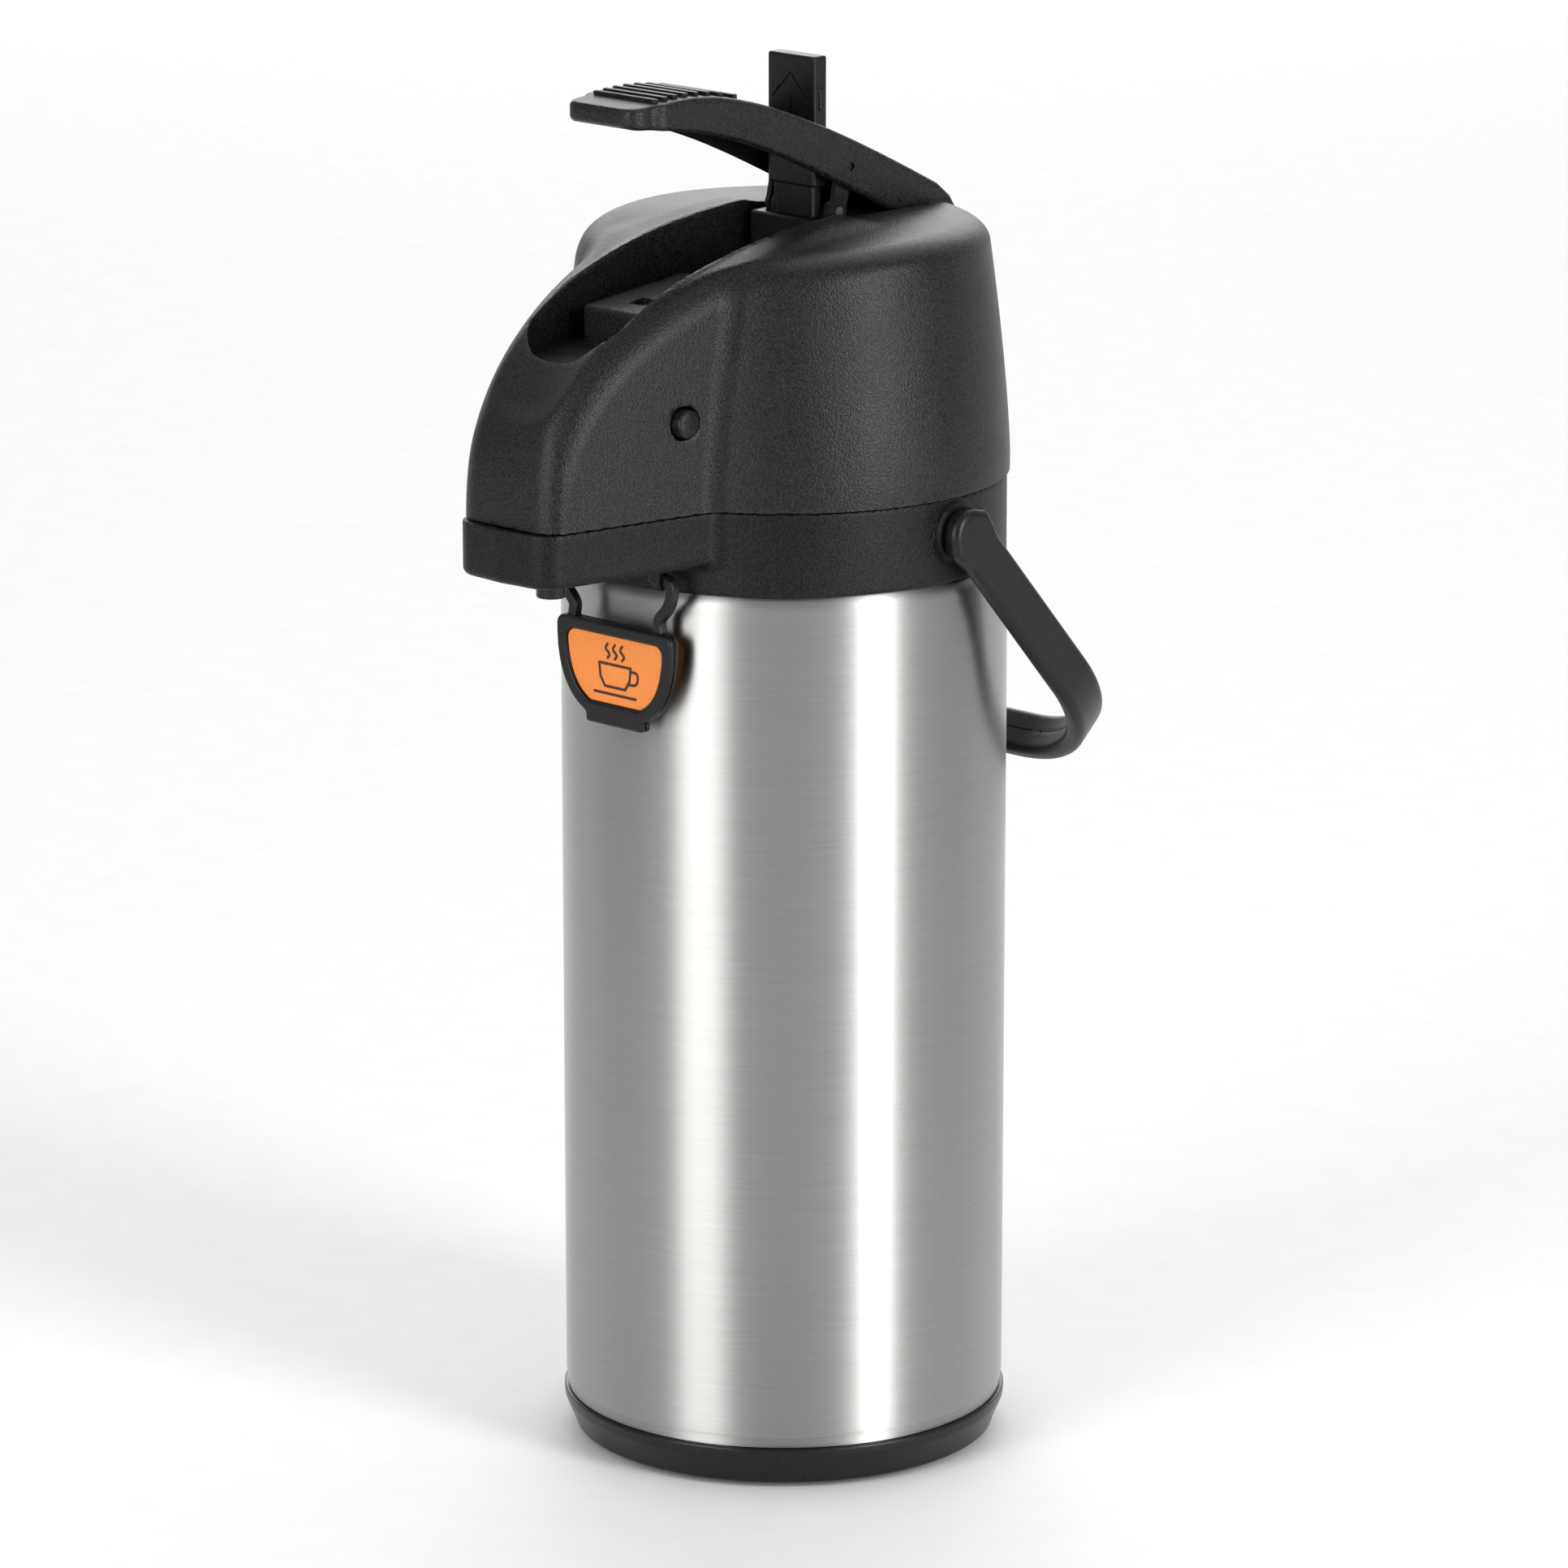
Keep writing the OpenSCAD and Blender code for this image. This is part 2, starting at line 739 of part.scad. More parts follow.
module link_straps() {
    eye = pin_r + 1.2;
    x0 = 12.1;
    x1 = 13.6;
    dy = lever_pin_y - plunger_pin_y;
    dz = lever_pin_z - plunger_pin_z;
    color(satin_black)
        both_sides()
            difference() {
                union() {
                    x_rod(3.3, x0, x1, plunger_pin_y, plunger_pin_z);
                    x_rod(4, x0, x1, lever_pin_y, lever_pin_z);
                    translate([x0, plunger_pin_y, plunger_pin_z])
                        rotate([-atan2(dy, dz), 0, 0])
                            translate([0, -3, 0]) cube([x1 - x0, 6, norm([dy, dz])]);
                }
                x_rod(pin_r + 0.05, x0 - 1, x1 + 1, plunger_pin_y, plunger_pin_z);
                x_rod(eye, x0 - 1, x1 + 1, lever_pin_y, lever_pin_z);
            }
}

module lock_bar() {
    play = 0.3;
    color(satin_black)
        difference() {
            union() {
                translate([-bar_half, bar_y0, bar_z0]) cube([2 * bar_half, bar_t, bar_z1 - bar_z0]);
                both_sides() translate([bar_half - 0.5, bar_y0 + 1.5, 408]) cube([1.2, 2.6, 5]);
                // raised chevron
                for (s = [-1, 1])
                    translate([0, bar_y0 - 0.4, 414])
                        rotate([0, s * 45, 0]) translate([-0.5, 0, -8]) cube([1, 1, 8]);
            }
            translate([-post_half - play, post_y0 - play, bar_z0 - 1])
                cube([2 * (post_half + play), post_t + 2 * play, bar_z1 - bar_z0 - 1]);
        }
}

// ---------------------------------------------------------------- buttons

module release_button_right() {
    color(satin_black)
        union() {
            x_rod(4.25, 21, button_x + 2, button_y, button_z);
            x_rod(3.4, button_x + 1, button_x + 2.6, button_y, button_z);
            x_rod(6.3, 19, 21.4, button_y, button_z);
            x_rod(2, 5.5, 20, button_y, button_z);
            // latch arm with its hook
            translate([19, button_y - 3, 289]) cube([2.2, 6, button_z - 289]);
            translate([20, button_y - 3, 289]) cube([2.3, 6, 3]);
        }
}

module release_button_left() {
    mirror([1, 0, 0]) release_button_right();
}

// ---------------------------------------------------------------- bail

// Flat outline of the bail, hanging down from its pivots.
module bail_outline(half, length, r) {
    translate([-half, -length + r]) square([2 * half, length - r]);
    translate([-half + r, -length]) square([2 * (half - r), length]);
    for (s = [-1, 1])
        translate([s * (half - r), -length + r]) circle(r = r, $fn = 128);
}

module bail_handle() {
    outer_x = body_r + 8;
    inner_x = outer_x - bail_t;
    corner = 44;
    color(satin_black)
        translate([0, bail_y, bail_z])
            rotate([bail_hang, 0, 0])
                difference() {
                    union() {
                        rotate([90, 0, 0])
                            linear_extrude(bail_w, center = true)
                                difference() {
                                    bail_outline(outer_x, bail_len + bail_t / 2, corner);
                                    bail_outline(inner_x, bail_len - bail_t / 2, corner - bail_t);
                                    translate([-90, 0]) square([180, 20]);
                                }
                        both_sides() x_rod(8.5, inner_x, outer_x, 0, 0);
                    }
                    both_sides() x_rod(3.56, inner_x - 1, outer_x - 2, 0, 0);
                }
}

// ---------------------------------------------------------------- tag

// Bowl of a cup: flat top, full sides, cut off above its foot.
function cup_outline(inset) =
    let (
        w = tag_half - inset, h = tag_h - 2 - 2 * inset, top = tag_top - inset,
        half = [for (a = [0:7.5:67.5]) [w * pow(cos(a), 0.8), top - 2.5 - (h - 1.5) * pow(sin(a), 0.8)]]
    )
    concat([[w - 2.5, top], [w - 0.7, top - 0.8]], half,
           [for (i = [len(half) - 1:-1:0]) [-half[i][0], half[i][1]]], [[0.7 - w, top - 0.8], [2.5 - w, top]]);

module front_view(y0, y1) {
    translate([0, y1, 0]) rotate([90, 0, 0]) linear_extrude(y1 - y0) children();
}

// S-shaped hanger, as a strip that swings out and back on its way up.
function hanger(side) =
    [for (i = [0:12])
        let (t = i / 12, x = 18 + 3.2 * t - 3 * sin(360 * t))
            [x + side * hook_r, tag_top - 1 + (tag_pivot_z - tag_top + 1) * t]];

module tag_frame() {
    y0 = tag_pivot_y - tag_t / 2;
    y1 = tag_pivot_y + tag_t / 2;
    border = 3.8;
    color(satin_black)
        union() {
            front_view(y0, y1)
                difference() {
                    polygon(cup_outline(0));
                    polygon(cup_outline(border));
                }
            front_view(y0, y1) translate([-9.8, tag_top - tag_h]) square([19.6, 5]);
            both_sides() {
                front_view(tag_pivot_y - hook_r, tag_pivot_y + hook_r)
                    polygon(concat(hanger(-1), reversed(hanger(1))));
                x_rod(hook_r, lug_x - 2, 22.7, tag_pivot_y, tag_pivot_z);
            }
        }
}

module tag_insert() {
    color(orange)
        front_view(tag_pivot_y - 1.1, tag_pivot_y + 0.9) polygon(cup_outline(3.85));
}

anti_slip_pad();
swivel_foot();
base_cap();
retaining_screw();
shell_bottom();
outer_shell();
inner_liner();
liner_bottom_cap();
liner_neck();
mouth_gasket();
stopper();
siphon_tube();
outlet_elbow();
outlet_hose();
nozzle();
collar();
bail_pins();
bail_washers();
lid_hinge_pin();
head_cover();
head_base();
head_screws();
lid_gasket();
bellows();
return_spring();
lever_pivot_pin();
button_spring_left();
button_spring_right();
lever();
lever_link_pins();
plunger();
pressure_plate();
intake_valve();
link_pins();
lock_post();
link_straps();
lock_bar();
release_button_left();
release_button_right();
bail_handle();
tag_frame();
tag_insert();
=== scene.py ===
"""Lever-action thermal airpot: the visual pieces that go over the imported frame.

Moulded pieces are signed-distance shapes in millimetres, contoured into closed meshes.
Turned pieces are lathed profiles. Everything sits where the frame has it.
"""

import math

import bpy
import numpy as np
from mathutils import Matrix, Vector


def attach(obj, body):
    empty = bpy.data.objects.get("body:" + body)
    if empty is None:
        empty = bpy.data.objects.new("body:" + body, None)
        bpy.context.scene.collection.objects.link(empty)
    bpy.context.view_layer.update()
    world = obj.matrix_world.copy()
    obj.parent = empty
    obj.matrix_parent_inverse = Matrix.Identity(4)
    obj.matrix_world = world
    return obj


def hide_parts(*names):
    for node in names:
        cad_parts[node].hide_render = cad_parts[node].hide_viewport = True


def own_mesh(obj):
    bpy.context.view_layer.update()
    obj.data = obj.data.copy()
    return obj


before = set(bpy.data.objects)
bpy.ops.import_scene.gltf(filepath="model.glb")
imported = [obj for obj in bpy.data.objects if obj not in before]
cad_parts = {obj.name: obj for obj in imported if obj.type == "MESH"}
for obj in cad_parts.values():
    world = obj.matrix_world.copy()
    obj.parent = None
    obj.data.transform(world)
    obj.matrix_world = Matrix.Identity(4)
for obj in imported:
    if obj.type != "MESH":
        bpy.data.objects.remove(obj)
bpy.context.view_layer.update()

MM = 0.001

# ---------------------------------------------------------------- places, in mm

BODY_R = 67.0  # outside of the steel
HUB_FACE = 67.3  # outer face of the bail's hubs on the collar
SEAM_Z = 300.0  # top of the collar, where the head lands
SEAM_GAP = 0.3
HEAD_TOP = 380.5
HEAD_WALL = 3.2
TRAY_WALL = 2.5
COLLAR_R = 66.65
COLLAR_IN = 63.7
COLLAR_Z0 = 275.0
TRAY_Z0 = 284.0
WEB_Z0 = 283.0
MOUTH_R = 43.2  # the round opening in the collar's web
BEAK_REACH = 119.8
WELL_HALF = 19.0
WELL_FLOOR = 346.5
WELL_SILL = 352.0  # the well's floor where it opens at the back
PIVOT = (50.5, 366.5)  # the lever's pivot, as (Y, Z), like the other pins
LEVER_HALF = 16.0
LEVER_CROWN = [(-77, 418.1), (-52, 419.3), (-40, 427), (50.5, 381.5)]
LEVER_BELLY = [(-75, 411.9), (-35, 409), (-13, 396), (40, 371)]
LEVER_PIN = (12.2, 391.1)
PLUNGER_PIN = (9.3, 377.7)
PLUNGER_TOP = 375.6
BUTTON = (-70.5, 327.7)
BUTTON_X = 27.2
NOZZLE_Y = -97.9
BAIL = (2.5, 290.0)
BAIL_LEN = 108.5
BAIL_HANG = 42.0  # degrees behind straight down
BAIL_BORE = 3.53  # radius of the holes for the bail's pins
HINGE = (71.6, 300.0)
KNUCKLE_R = 4.5
TAG = (-70.8, 280.2)  # the tag's pivot
TAG_TOP = 264.0
TAG_HALF = 23.6
TAG_FLOOR = 238.6  # bottom of the tag's window
LUG_X = 17.2
BELLOWS_Z0, BELLOWS_TOP = 303.5, 341.0

# No vertex may lie outside the CAD model's box.
KEEP_LO = (-74.99, -119.79, -1000)
KEEP_HI = (74.99, 1000, 423.99)

# ---------------------------------------------------------------- signed distances


def meet(a, b, r=0.0):
    """Intersection, with its outer edge rounded to radius r."""
    if r == 0:
        return np.maximum(a, b)
    return np.minimum(-r, np.maximum(a, b)) + np.hypot(np.maximum(r + a, 0), np.maximum(r + b, 0))


def join(a, b, r=0.0):
    """Union, with a fillet of radius r."""
    return -meet(-a, -b, r)


def cut(a, b, r=0.0):
    """a without b, with the edges of the cut rounded."""
    return meet(a, -b, r)


def rect(u, v, hu, hv, r=0.0):
    """Rounded rectangle about the origin."""
    qu, qv = np.abs(u) - hu + r, np.abs(v) - hv + r
    return np.hypot(np.maximum(qu, 0), np.maximum(qv, 0)) + np.minimum(np.maximum(qu, qv), 0) - r


def block(x, y, z, lo, hi, r=0.0):
    """Rounded block between two corners."""
    q = [np.abs(c - (a + b) / 2) - (b - a) / 2 + r for c, a, b in zip((x, y, z), lo, hi)]
    outside = np.sqrt(sum(np.maximum(c, 0) ** 2 for c in q))
    return outside + np.minimum(np.maximum(np.maximum(q[0], q[1]), q[2]), 0) - r


def polygon(u, v, points):
    """Signed distance to a closed polygon."""
    u, v = np.broadcast_arrays(u, v)
    best = np.full(u.shape, 1e9, dtype=u.dtype)
    inside = np.zeros(u.shape, dtype=bool)
    for (au, av), (bu, bv) in zip(points, points[1:] + points[:1]):
        eu, ev = bu - au, bv - av
        pu, pv = u - au, v - av
        t = np.clip((pu * eu + pv * ev) / (eu * eu + ev * ev), 0, 1)
        best = np.minimum(best, (pu - eu * t) ** 2 + (pv - ev * t) ** 2)
        if ev != 0:
            inside ^= ((av > v) != (bv > v)) & (pu < eu * pv / ev)
    return np.where(inside, -1, 1) * np.sqrt(best)


def path(u, v, points):
    """Distance to an open polyline."""
    best = 1e9
    for (au, av), (bu, bv) in zip(points, points[1:]):
        eu, ev = bu - au, bv - av
        t = np.clip(((u - au) * eu + (v - av) * ev) / (eu * eu + ev * ev), 0, 1)
        best = np.minimum(best, np.hypot(u - au - eu * t, v - av - ev * t))
    return best


def convex(u, v, points):
    """Distance to a convex outline given counter-clockwise, as the furthest of its sides."""
    best = -1e9
    for (au, av), (bu, bv) in zip(points, points[1:]):
        n = math.hypot(bu - au, bv - av)
        best = np.maximum(best, (u - au) * (bv - av) / n - (v - av) * (bu - au) / n)
    return best


def rod(x, y, z, at, r, x0, x1, edge=0.0):
    """Cylinder along X, centred on (Y, Z)."""
    return meet(np.hypot(y - at[0], z - at[1]) - r, np.abs(x - (x0 + x1) / 2) - (x1 - x0) / 2, edge)


def bezier(p, steps):
    """Points along a cubic curve."""
    t = np.linspace(0, 1, steps + 1)[:, None]
    p = np.array(p, float)
    q = (1 - t) ** 3 * p[0] + 3 * t * (1 - t) ** 2 * p[1] + 3 * t * t * (1 - t) * p[2] + t**3 * p[3]
    return [tuple(c) for c in q]


def smooth_line(points, rounds=3):
    """Cuts the corners of an open line until it is smooth; its ends stay."""
    for _ in range(rounds):
        new = [points[0]]
        for a, b in zip(points, points[1:]):
            new.append(tuple(0.75 * p + 0.25 * q for p, q in zip(a, b)))
            new.append(tuple(0.25 * p + 0.75 * q for p, q in zip(a, b)))
        points = new + [points[-1]]
    return points


# ---------------------------------------------------------------- contouring


def slope(field, p):
    """Unit gradient of the field at each point."""
    h = 0.02
    g = np.stack([field(*(p + h * e).T) - field(*(p - h * e).T) for e in np.eye(3)], axis=1)
    return g / np.maximum(np.linalg.norm(g, axis=1, keepdims=True), 1e-9)


def crossings(field, value, axes, step):
    """Where the field changes sign along grid edges.

    Gives a point and a normal for each such edge, and the four cells around it.
    """
    inside = value < 0
    places, normals, rings = [], [], []
    shape = np.array(value.shape)
    stride = np.array([shape[1] * shape[2], shape[2], 1])
    for axis in range(3):
        near = tuple(slice(None, -1) if a == axis else slice(None) for a in range(3))
        far = tuple(slice(1, None) if a == axis else slice(None) for a in range(3))
        index = np.argwhere(inside[near] != inside[far])
        low = value[near][tuple(index.T)].astype(float)
        high = value[far][tuple(index.T)].astype(float)
        origin = np.stack([axes[a][index[:, a]] for a in range(3)], axis=1).astype(float)
        a_t, b_t = np.zeros(len(index)), np.ones(len(index))
        for _ in range(3):
            t = a_t + (b_t - a_t) * low / (low - high)
            p = origin.copy()
            p[:, axis] += t * step
            f = field(*p.T)
            same = (f < 0) == (low < 0)
            a_t, low = np.where(same, t, a_t), np.where(same, f, low)
            b_t, high = np.where(same, b_t, t), np.where(same, high, f)
        t = a_t + (b_t - a_t) * low / np.where(low == high, 1, low - high)
        p = origin.copy()
        p[:, axis] += t * step
        places.append(p)
        normals.append(slope(field, p))
        u, v = (axis + 1) % 3, (axis + 2) % 3
        cell = index @ stride
        before_u, before_v = cell - stride[u], cell - stride[v]
        ring = np.stack([before_u - stride[v], before_v, cell, before_u], axis=1)
        outward = inside[near][tuple(index.T)][:, None]
        rings.append(np.where(outward, ring, ring[:, ::-1]))
    return np.concatenate(places), np.concatenate(normals), np.concatenate(rings)


def contour(name, field, lo, hi, step):
    """A closed mesh of the field's zero surface between two corners, on a grid of this step.

    Each cell's vertex is where the tangent planes of its crossings meet best, so that sharp
    edges stay sharp.
    """
    axes = [
        np.arange(a - 1.5 * step, b + 2.5 * step, step, dtype=np.float32)
        for a, b in zip(lo, hi)
    ]
    value = field(axes[0][:, None, None], axes[1][None, :, None], axes[2][None, None, :])
    value = np.broadcast_to(value, [len(a) for a in axes])
    place, normal, ring = crossings(field, value, axes, step)
    cells, quads = np.unique(ring, return_inverse=True)
    quads = quads.reshape(-1, 4)
    count = len(cells)
    owner, point, way = quads.ravel(), np.repeat(place, 4, axis=0), np.repeat(normal, 4, axis=0)
    n = np.bincount(owner, minlength=count)[:, None]
    mass = np.stack([np.bincount(owner, point[:, a], count) for a in range(3)], axis=1) / n
    reach = np.sum(way * (point - mass[owner]), axis=1)
    system = np.empty((count, 3, 3))
    for a in range(3):
        for b in range(3):
            system[:, a, b] = np.bincount(owner, way[:, a] * way[:, b], count)
    right = np.stack([np.bincount(owner, way[:, a] * reach, count) for a in range(3)], axis=1)
    pull_to_mass = 0.08
    system += pull_to_mass * n[:, :, None] * np.eye(3)
    move = np.linalg.solve(system, right[:, :, None])[:, :, 0]
    leash = 0.75 * step
    vertex = np.clip(mass + np.clip(move, -leash, leash), KEEP_LO, KEEP_HI)
    return mesh_object(name, vertex * MM, quads)


def mesh_object(name, vertices, quads, sharp=40.0):
    """An object from vertices in metres and quads, smooth up to an angle of sharp degrees."""
    mesh = bpy.data.meshes.new(name)
    mesh.vertices.add(len(vertices))
    mesh.vertices.foreach_set("co", np.asarray(vertices, dtype=np.float32).ravel())
    mesh.loops.add(quads.size)
    mesh.loops.foreach_set("vertex_index", quads.astype(np.int32).ravel())
    mesh.polygons.add(len(quads))
    mesh.polygons.foreach_set("loop_start", np.arange(0, quads.size, 4, dtype=np.int32))
    mesh.update(calc_edges=True)
    mesh.validate()
    mesh.shade_smooth()
    mesh.set_sharp_from_angle(angle=math.radians(sharp))
    obj = bpy.data.objects.new(name, mesh)
    bpy.context.scene.collection.objects.link(obj)
    return obj


def strip(row, next_row, column, next_column):
    """Quads between neighbouring rows and columns of a grid of vertices."""
    corners = [row + column, next_row + column, next_row + next_column, row + next_column]
    return np.stack(corners, axis=2).reshape(-1, 4)


def lathe(name, outline, steps=192, at=(0.0, 0.0), sharp=40.0):
    """A closed ring turned about Z from a closed outline of (radius, height), both in mm."""
    outline = np.array(outline)
    turn = np.linspace(0, 2 * math.pi, steps, endpoint=False)
    r, z = outline[:, 0], outline[:, 1]
    v = np.stack(
        [
            at[0] + np.outer(np.cos(turn), r),
            at[1] + np.outer(np.sin(turn), r),
            np.broadcast_to(z, (steps, len(z))),
        ],
        axis=2,
    ).reshape(-1, 3)
    m = len(z)
    i, j = np.meshgrid(np.arange(steps), np.arange(m), indexing="ij")
    quads = strip(i * m, (i + 1) % steps * m, j, (j + 1) % m)
    return mesh_object(name, v * MM, quads, sharp)


def rounded(points, r, steps=5):
    """Rounds each corner of an outline, taken as closed. r is one radius or one for each corner."""
    out = []
    n = len(points)
    radii = [r] * n if np.isscalar(r) else r
    for i, (p, radius) in enumerate(zip(points, radii)):
        p, a, b = (np.array(q, float) for q in (p, points[i - 1], points[(i + 1) % n]))
        ua, ub = (a - p) / np.linalg.norm(a - p), (b - p) / np.linalg.norm(b - p)
        half = math.acos(np.clip(ua @ ub, -1, 1)) / 2
        if radius == 0 or half > 1.5:
            out.append(tuple(p))
            continue
        room = 0.48 * min(np.linalg.norm(a - p), np.linalg.norm(b - p))
        reach = min(radius / math.tan(half), room)
        for t in np.linspace(0, 1, steps):
            start, end = p + ua * reach, p + ub * reach
            out.append(tuple((1 - t) ** 2 * start + 2 * t * (1 - t) * p + t * t * end))
    return out


# ---------------------------------------------------------------- materials


def new_material(name, roughness, metallic=0.0, **sockets):
    """A Principled material, its node tree and its shader."""
    mat = bpy.data.materials.new(name)
    mat.use_nodes = True
    shader = mat.node_tree.nodes["Principled BSDF"]
    shader.inputs["Roughness"].default_value = roughness
    shader.inputs["Metallic"].default_value = metallic
    for key, value in sockets.items():
        shader.inputs[key.replace("_", " ")].default_value = value
    return mat, mat.node_tree, shader


def noise(tree, scale, detail=4.0, stretch=(1, 1, 1)):
    """A noise texture in object space, stretched along the axes."""
    where = tree.nodes.new("ShaderNodeTexCoord")
    mapping = tree.nodes.new("ShaderNodeMapping")
    mapping.inputs["Scale"].default_value = stretch
    texture = tree.nodes.new("ShaderNodeTexNoise")
    texture.inputs["Scale"].default_value = scale
    texture.inputs["Detail"].default_value = detail
    tree.links.new(where.outputs["Object"], mapping.inputs["Vector"])
    tree.links.new(mapping.outputs["Vector"], texture.inputs["Vector"])
    return texture


def ramp(tree, source, stops):
    """Maps a value to colours. stops: (position, colour) pairs."""
    node = tree.nodes.new("ShaderNodeValToRGB")
    for element, (position, colour) in zip(node.color_ramp.elements, (stops[0], stops[-1])):
        element.position, element.color = position, (*colour, 1)
    for position, colour in stops[1:-1]:
        node.color_ramp.elements.new(position).color = (*colour, 1)
    tree.links.new(source, node.inputs["Fac"])
    return node


def spread(tree, source, low, high):
    """Maps the middle of a noise's range to low..high."""
    node = tree.nodes.new("ShaderNodeMapRange")
    node.inputs["From Min"].default_value, node.inputs["From Max"].default_value = 0.3, 0.7
    node.inputs["To Min"].default_value, node.inputs["To Max"].default_value = low, high
    tree.links.new(source, node.inputs["Value"])
    return node


def bump(tree, shader, source, height, strength=1.0):
    """Relief of this height, in metres, on the shader's normal."""
    node = tree.nodes.new("ShaderNodeBump")
    node.inputs["Distance"].default_value = height
    node.inputs["Strength"].default_value = strength
    tree.links.new(source, node.inputs["Height"])
    tree.links.new(node.outputs["Normal"], shader.inputs["Normal"])


def edge_wear_and_highlight(tree, base, light, amount):
    """Lightens convex edges a little in the base colour: partly wear where handling polishes
    plastic, partly a painted highlight along the edges.
    """
    geometry = tree.nodes.new("ShaderNodeNewGeometry")
    edge = tree.nodes.new("ShaderNodeMapRange")
    edge.inputs["From Min"].default_value, edge.inputs["From Max"].default_value = 0.52, 0.62
    edge.inputs["To Max"].default_value = amount
    mix = tree.nodes.new("ShaderNodeMix")
    mix.data_type = "RGBA"
    mix.inputs["B"].default_value = (*light, 1)
    tree.links.new(geometry.outputs["Pointiness"], edge.inputs["Value"])
    tree.links.new(edge.outputs["Result"], mix.inputs["Factor"])
    tree.links.new(base, mix.inputs["A"])
    return mix


def plastic(name, dark, light, roughness, grain_mm, grain_height, edge=0.35, shine=0.5):
    """Moulded plastic: fine grain, slightly uneven colour and gloss, and edges lightened in colour,
    partly as wear and partly as a painted highlight.

    Grain sizes are in mm. edge is how much the edges are lightened, as wear and painted highlight.
    """
    mat, tree, shader = new_material(name, roughness, IOR=1.45)
    shader.inputs["Specular IOR Level"].default_value = shine
    grain = noise(tree, 1000 / grain_mm, 2.0)
    broad = noise(tree, 22, 3.0)
    tone = ramp(tree, grain.outputs["Fac"], [(0.4, dark), (0.62, light)])
    # Convex edges painted lighter in the base colour: wear, and a painted highlight where edges
    # catch the light.
    wear_and_highlight = edge_wear_and_highlight(tree, tone.outputs["Color"], tuple(c * 2.2 for c in light), edge)
    tree.links.new(wear_and_highlight.outputs["Result"], shader.inputs["Base Color"])
    gloss = spread(tree, broad.outputs["Fac"], roughness - 0.05, roughness + 0.05)
    tree.links.new(gloss.outputs["Result"], shader.inputs["Roughness"])
    bump(tree, shader, grain.outputs["Fac"], grain_height * MM)
    return mat


def brushed(name, base, roughness, anisotropy, around=True):
    """Stainless steel with fine hairlines round the Z axis and faint smudges.

    around draws reflections out along Z, as hairlines round a turned body do.
    """
    mat, tree, shader = new_material(name, roughness, 1.0, Anisotropic=anisotropy)
    if around:
        tangent = tree.nodes.new("ShaderNodeTangent")
        tangent.direction_type, tangent.axis = "RADIAL", "Z"
        tree.links.new(tangent.outputs["Tangent"], shader.inputs["Tangent"])
        shader.inputs["Anisotropic Rotation"].default_value = 0.25
    fine = noise(tree, 45, 3.0, (1, 1, 55))
    coarse = noise(tree, 16, 3.0, (1, 1, 30))
    smudge = noise(tree, 9, 3.0)
    line = tree.nodes.new("ShaderNodeMix")
    line.inputs["Factor"].default_value = 0.25
    tree.links.new(fine.outputs["Fac"], line.inputs["A"])
    tree.links.new(coarse.outputs["Fac"], line.inputs["B"])
    dark, light = tuple(c * 0.94 for c in base), tuple(min(c * 1.05, 1) for c in base)
    tone = ramp(tree, line.outputs["Result"], [(0.36, dark), (0.64, light)])
    tree.links.new(tone.outputs["Color"], shader.inputs["Base Color"])
    uneven = tree.nodes.new("ShaderNodeMix")
    uneven.inputs["Factor"].default_value = 0.5
    tree.links.new(line.outputs["Result"], uneven.inputs["A"])
    tree.links.new(smudge.outputs["Fac"], uneven.inputs["B"])
    gloss = spread(tree, uneven.outputs["Result"], roughness - 0.03, roughness + 0.03)
    tree.links.new(gloss.outputs["Result"], shader.inputs["Roughness"])
    bump(tree, shader, line.outputs["Result"], 0.006 * MM, 0.5)
    return mat


def rubbery(name, dark, light, roughness):
    """Matt rubber or silicone with a faint mottle."""
    mat, tree, shader = new_material(name, roughness, IOR=1.45)
    mottle = noise(tree, 300, 4.0)
    tone = ramp(tree, mottle.outputs["Fac"], [(0.3, dark), (0.7, light)])
    tree.links.new(tone.outputs["Color"], shader.inputs["Base Color"])
    gloss = spread(tree, mottle.outputs["Fac"], roughness - 0.06, roughness + 0.06)
    tree.links.new(gloss.outputs["Result"], shader.inputs["Roughness"])
    bump(tree, shader, mottle.outputs["Fac"], 0.06 * MM, 0.6)
    return mat


textured = plastic(
    "textured_black", (0.001, 0.001, 0.001), (0.014, 0.014, 0.0143), 0.37, 0.6, 0.22, shine=0.32
)
collar_black = plastic(
    "collar_black", (0.001, 0.001, 0.001), (0.011, 0.011, 0.0112), 0.42, 0.6, 0.2, shine=0.22
)
satin = plastic(
    "satin_black", (0.004, 0.004, 0.0041), (0.008, 0.008, 0.0082), 0.34, 0.8, 0.02, shine=0.32
)
dark_smooth = plastic(
    "base_black", (0.002, 0.002, 0.0021), (0.005, 0.005, 0.0051), 0.28, 1.2, 0.02, shine=0.4
)
orange = plastic(
    "orange_panel", (0.77, 0.225, 0.038), (0.83, 0.26, 0.05), 0.42, 0.6, 0.015, edge=0.1
)
print_brown = plastic(
    "pictogram_ink", (0.035, 0.006, 0.004), (0.05, 0.010, 0.006), 0.45, 0.4, 0.01, edge=0.1
)
steel = brushed("brushed_steel", (0.44, 0.436, 0.427), 0.42, 0.95)
liner_steel = brushed("liner_steel", (0.58, 0.575, 0.56), 0.22, 0.5)
pin_steel = brushed("pin_steel", (0.5, 0.5, 0.49), 0.3, 0.0, around=False)
rubber = rubbery("black_rubber", (0.012, 0.012, 0.012), (0.028, 0.028, 0.028), 0.7)
silicone = rubbery("white_silicone", (0.52, 0.52, 0.49), (0.64, 0.64, 0.61), 0.5)


def dress(obj, body, mat, slot, *nodes):
    """Gives a piece its material and its body, and hides the frame nodes it stands for. slot is not
    used.
    """
    obj.data.materials.append(mat)
    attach(obj, body)
    if nodes:
        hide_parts(*nodes)


# ---------------------------------------------------------------- head


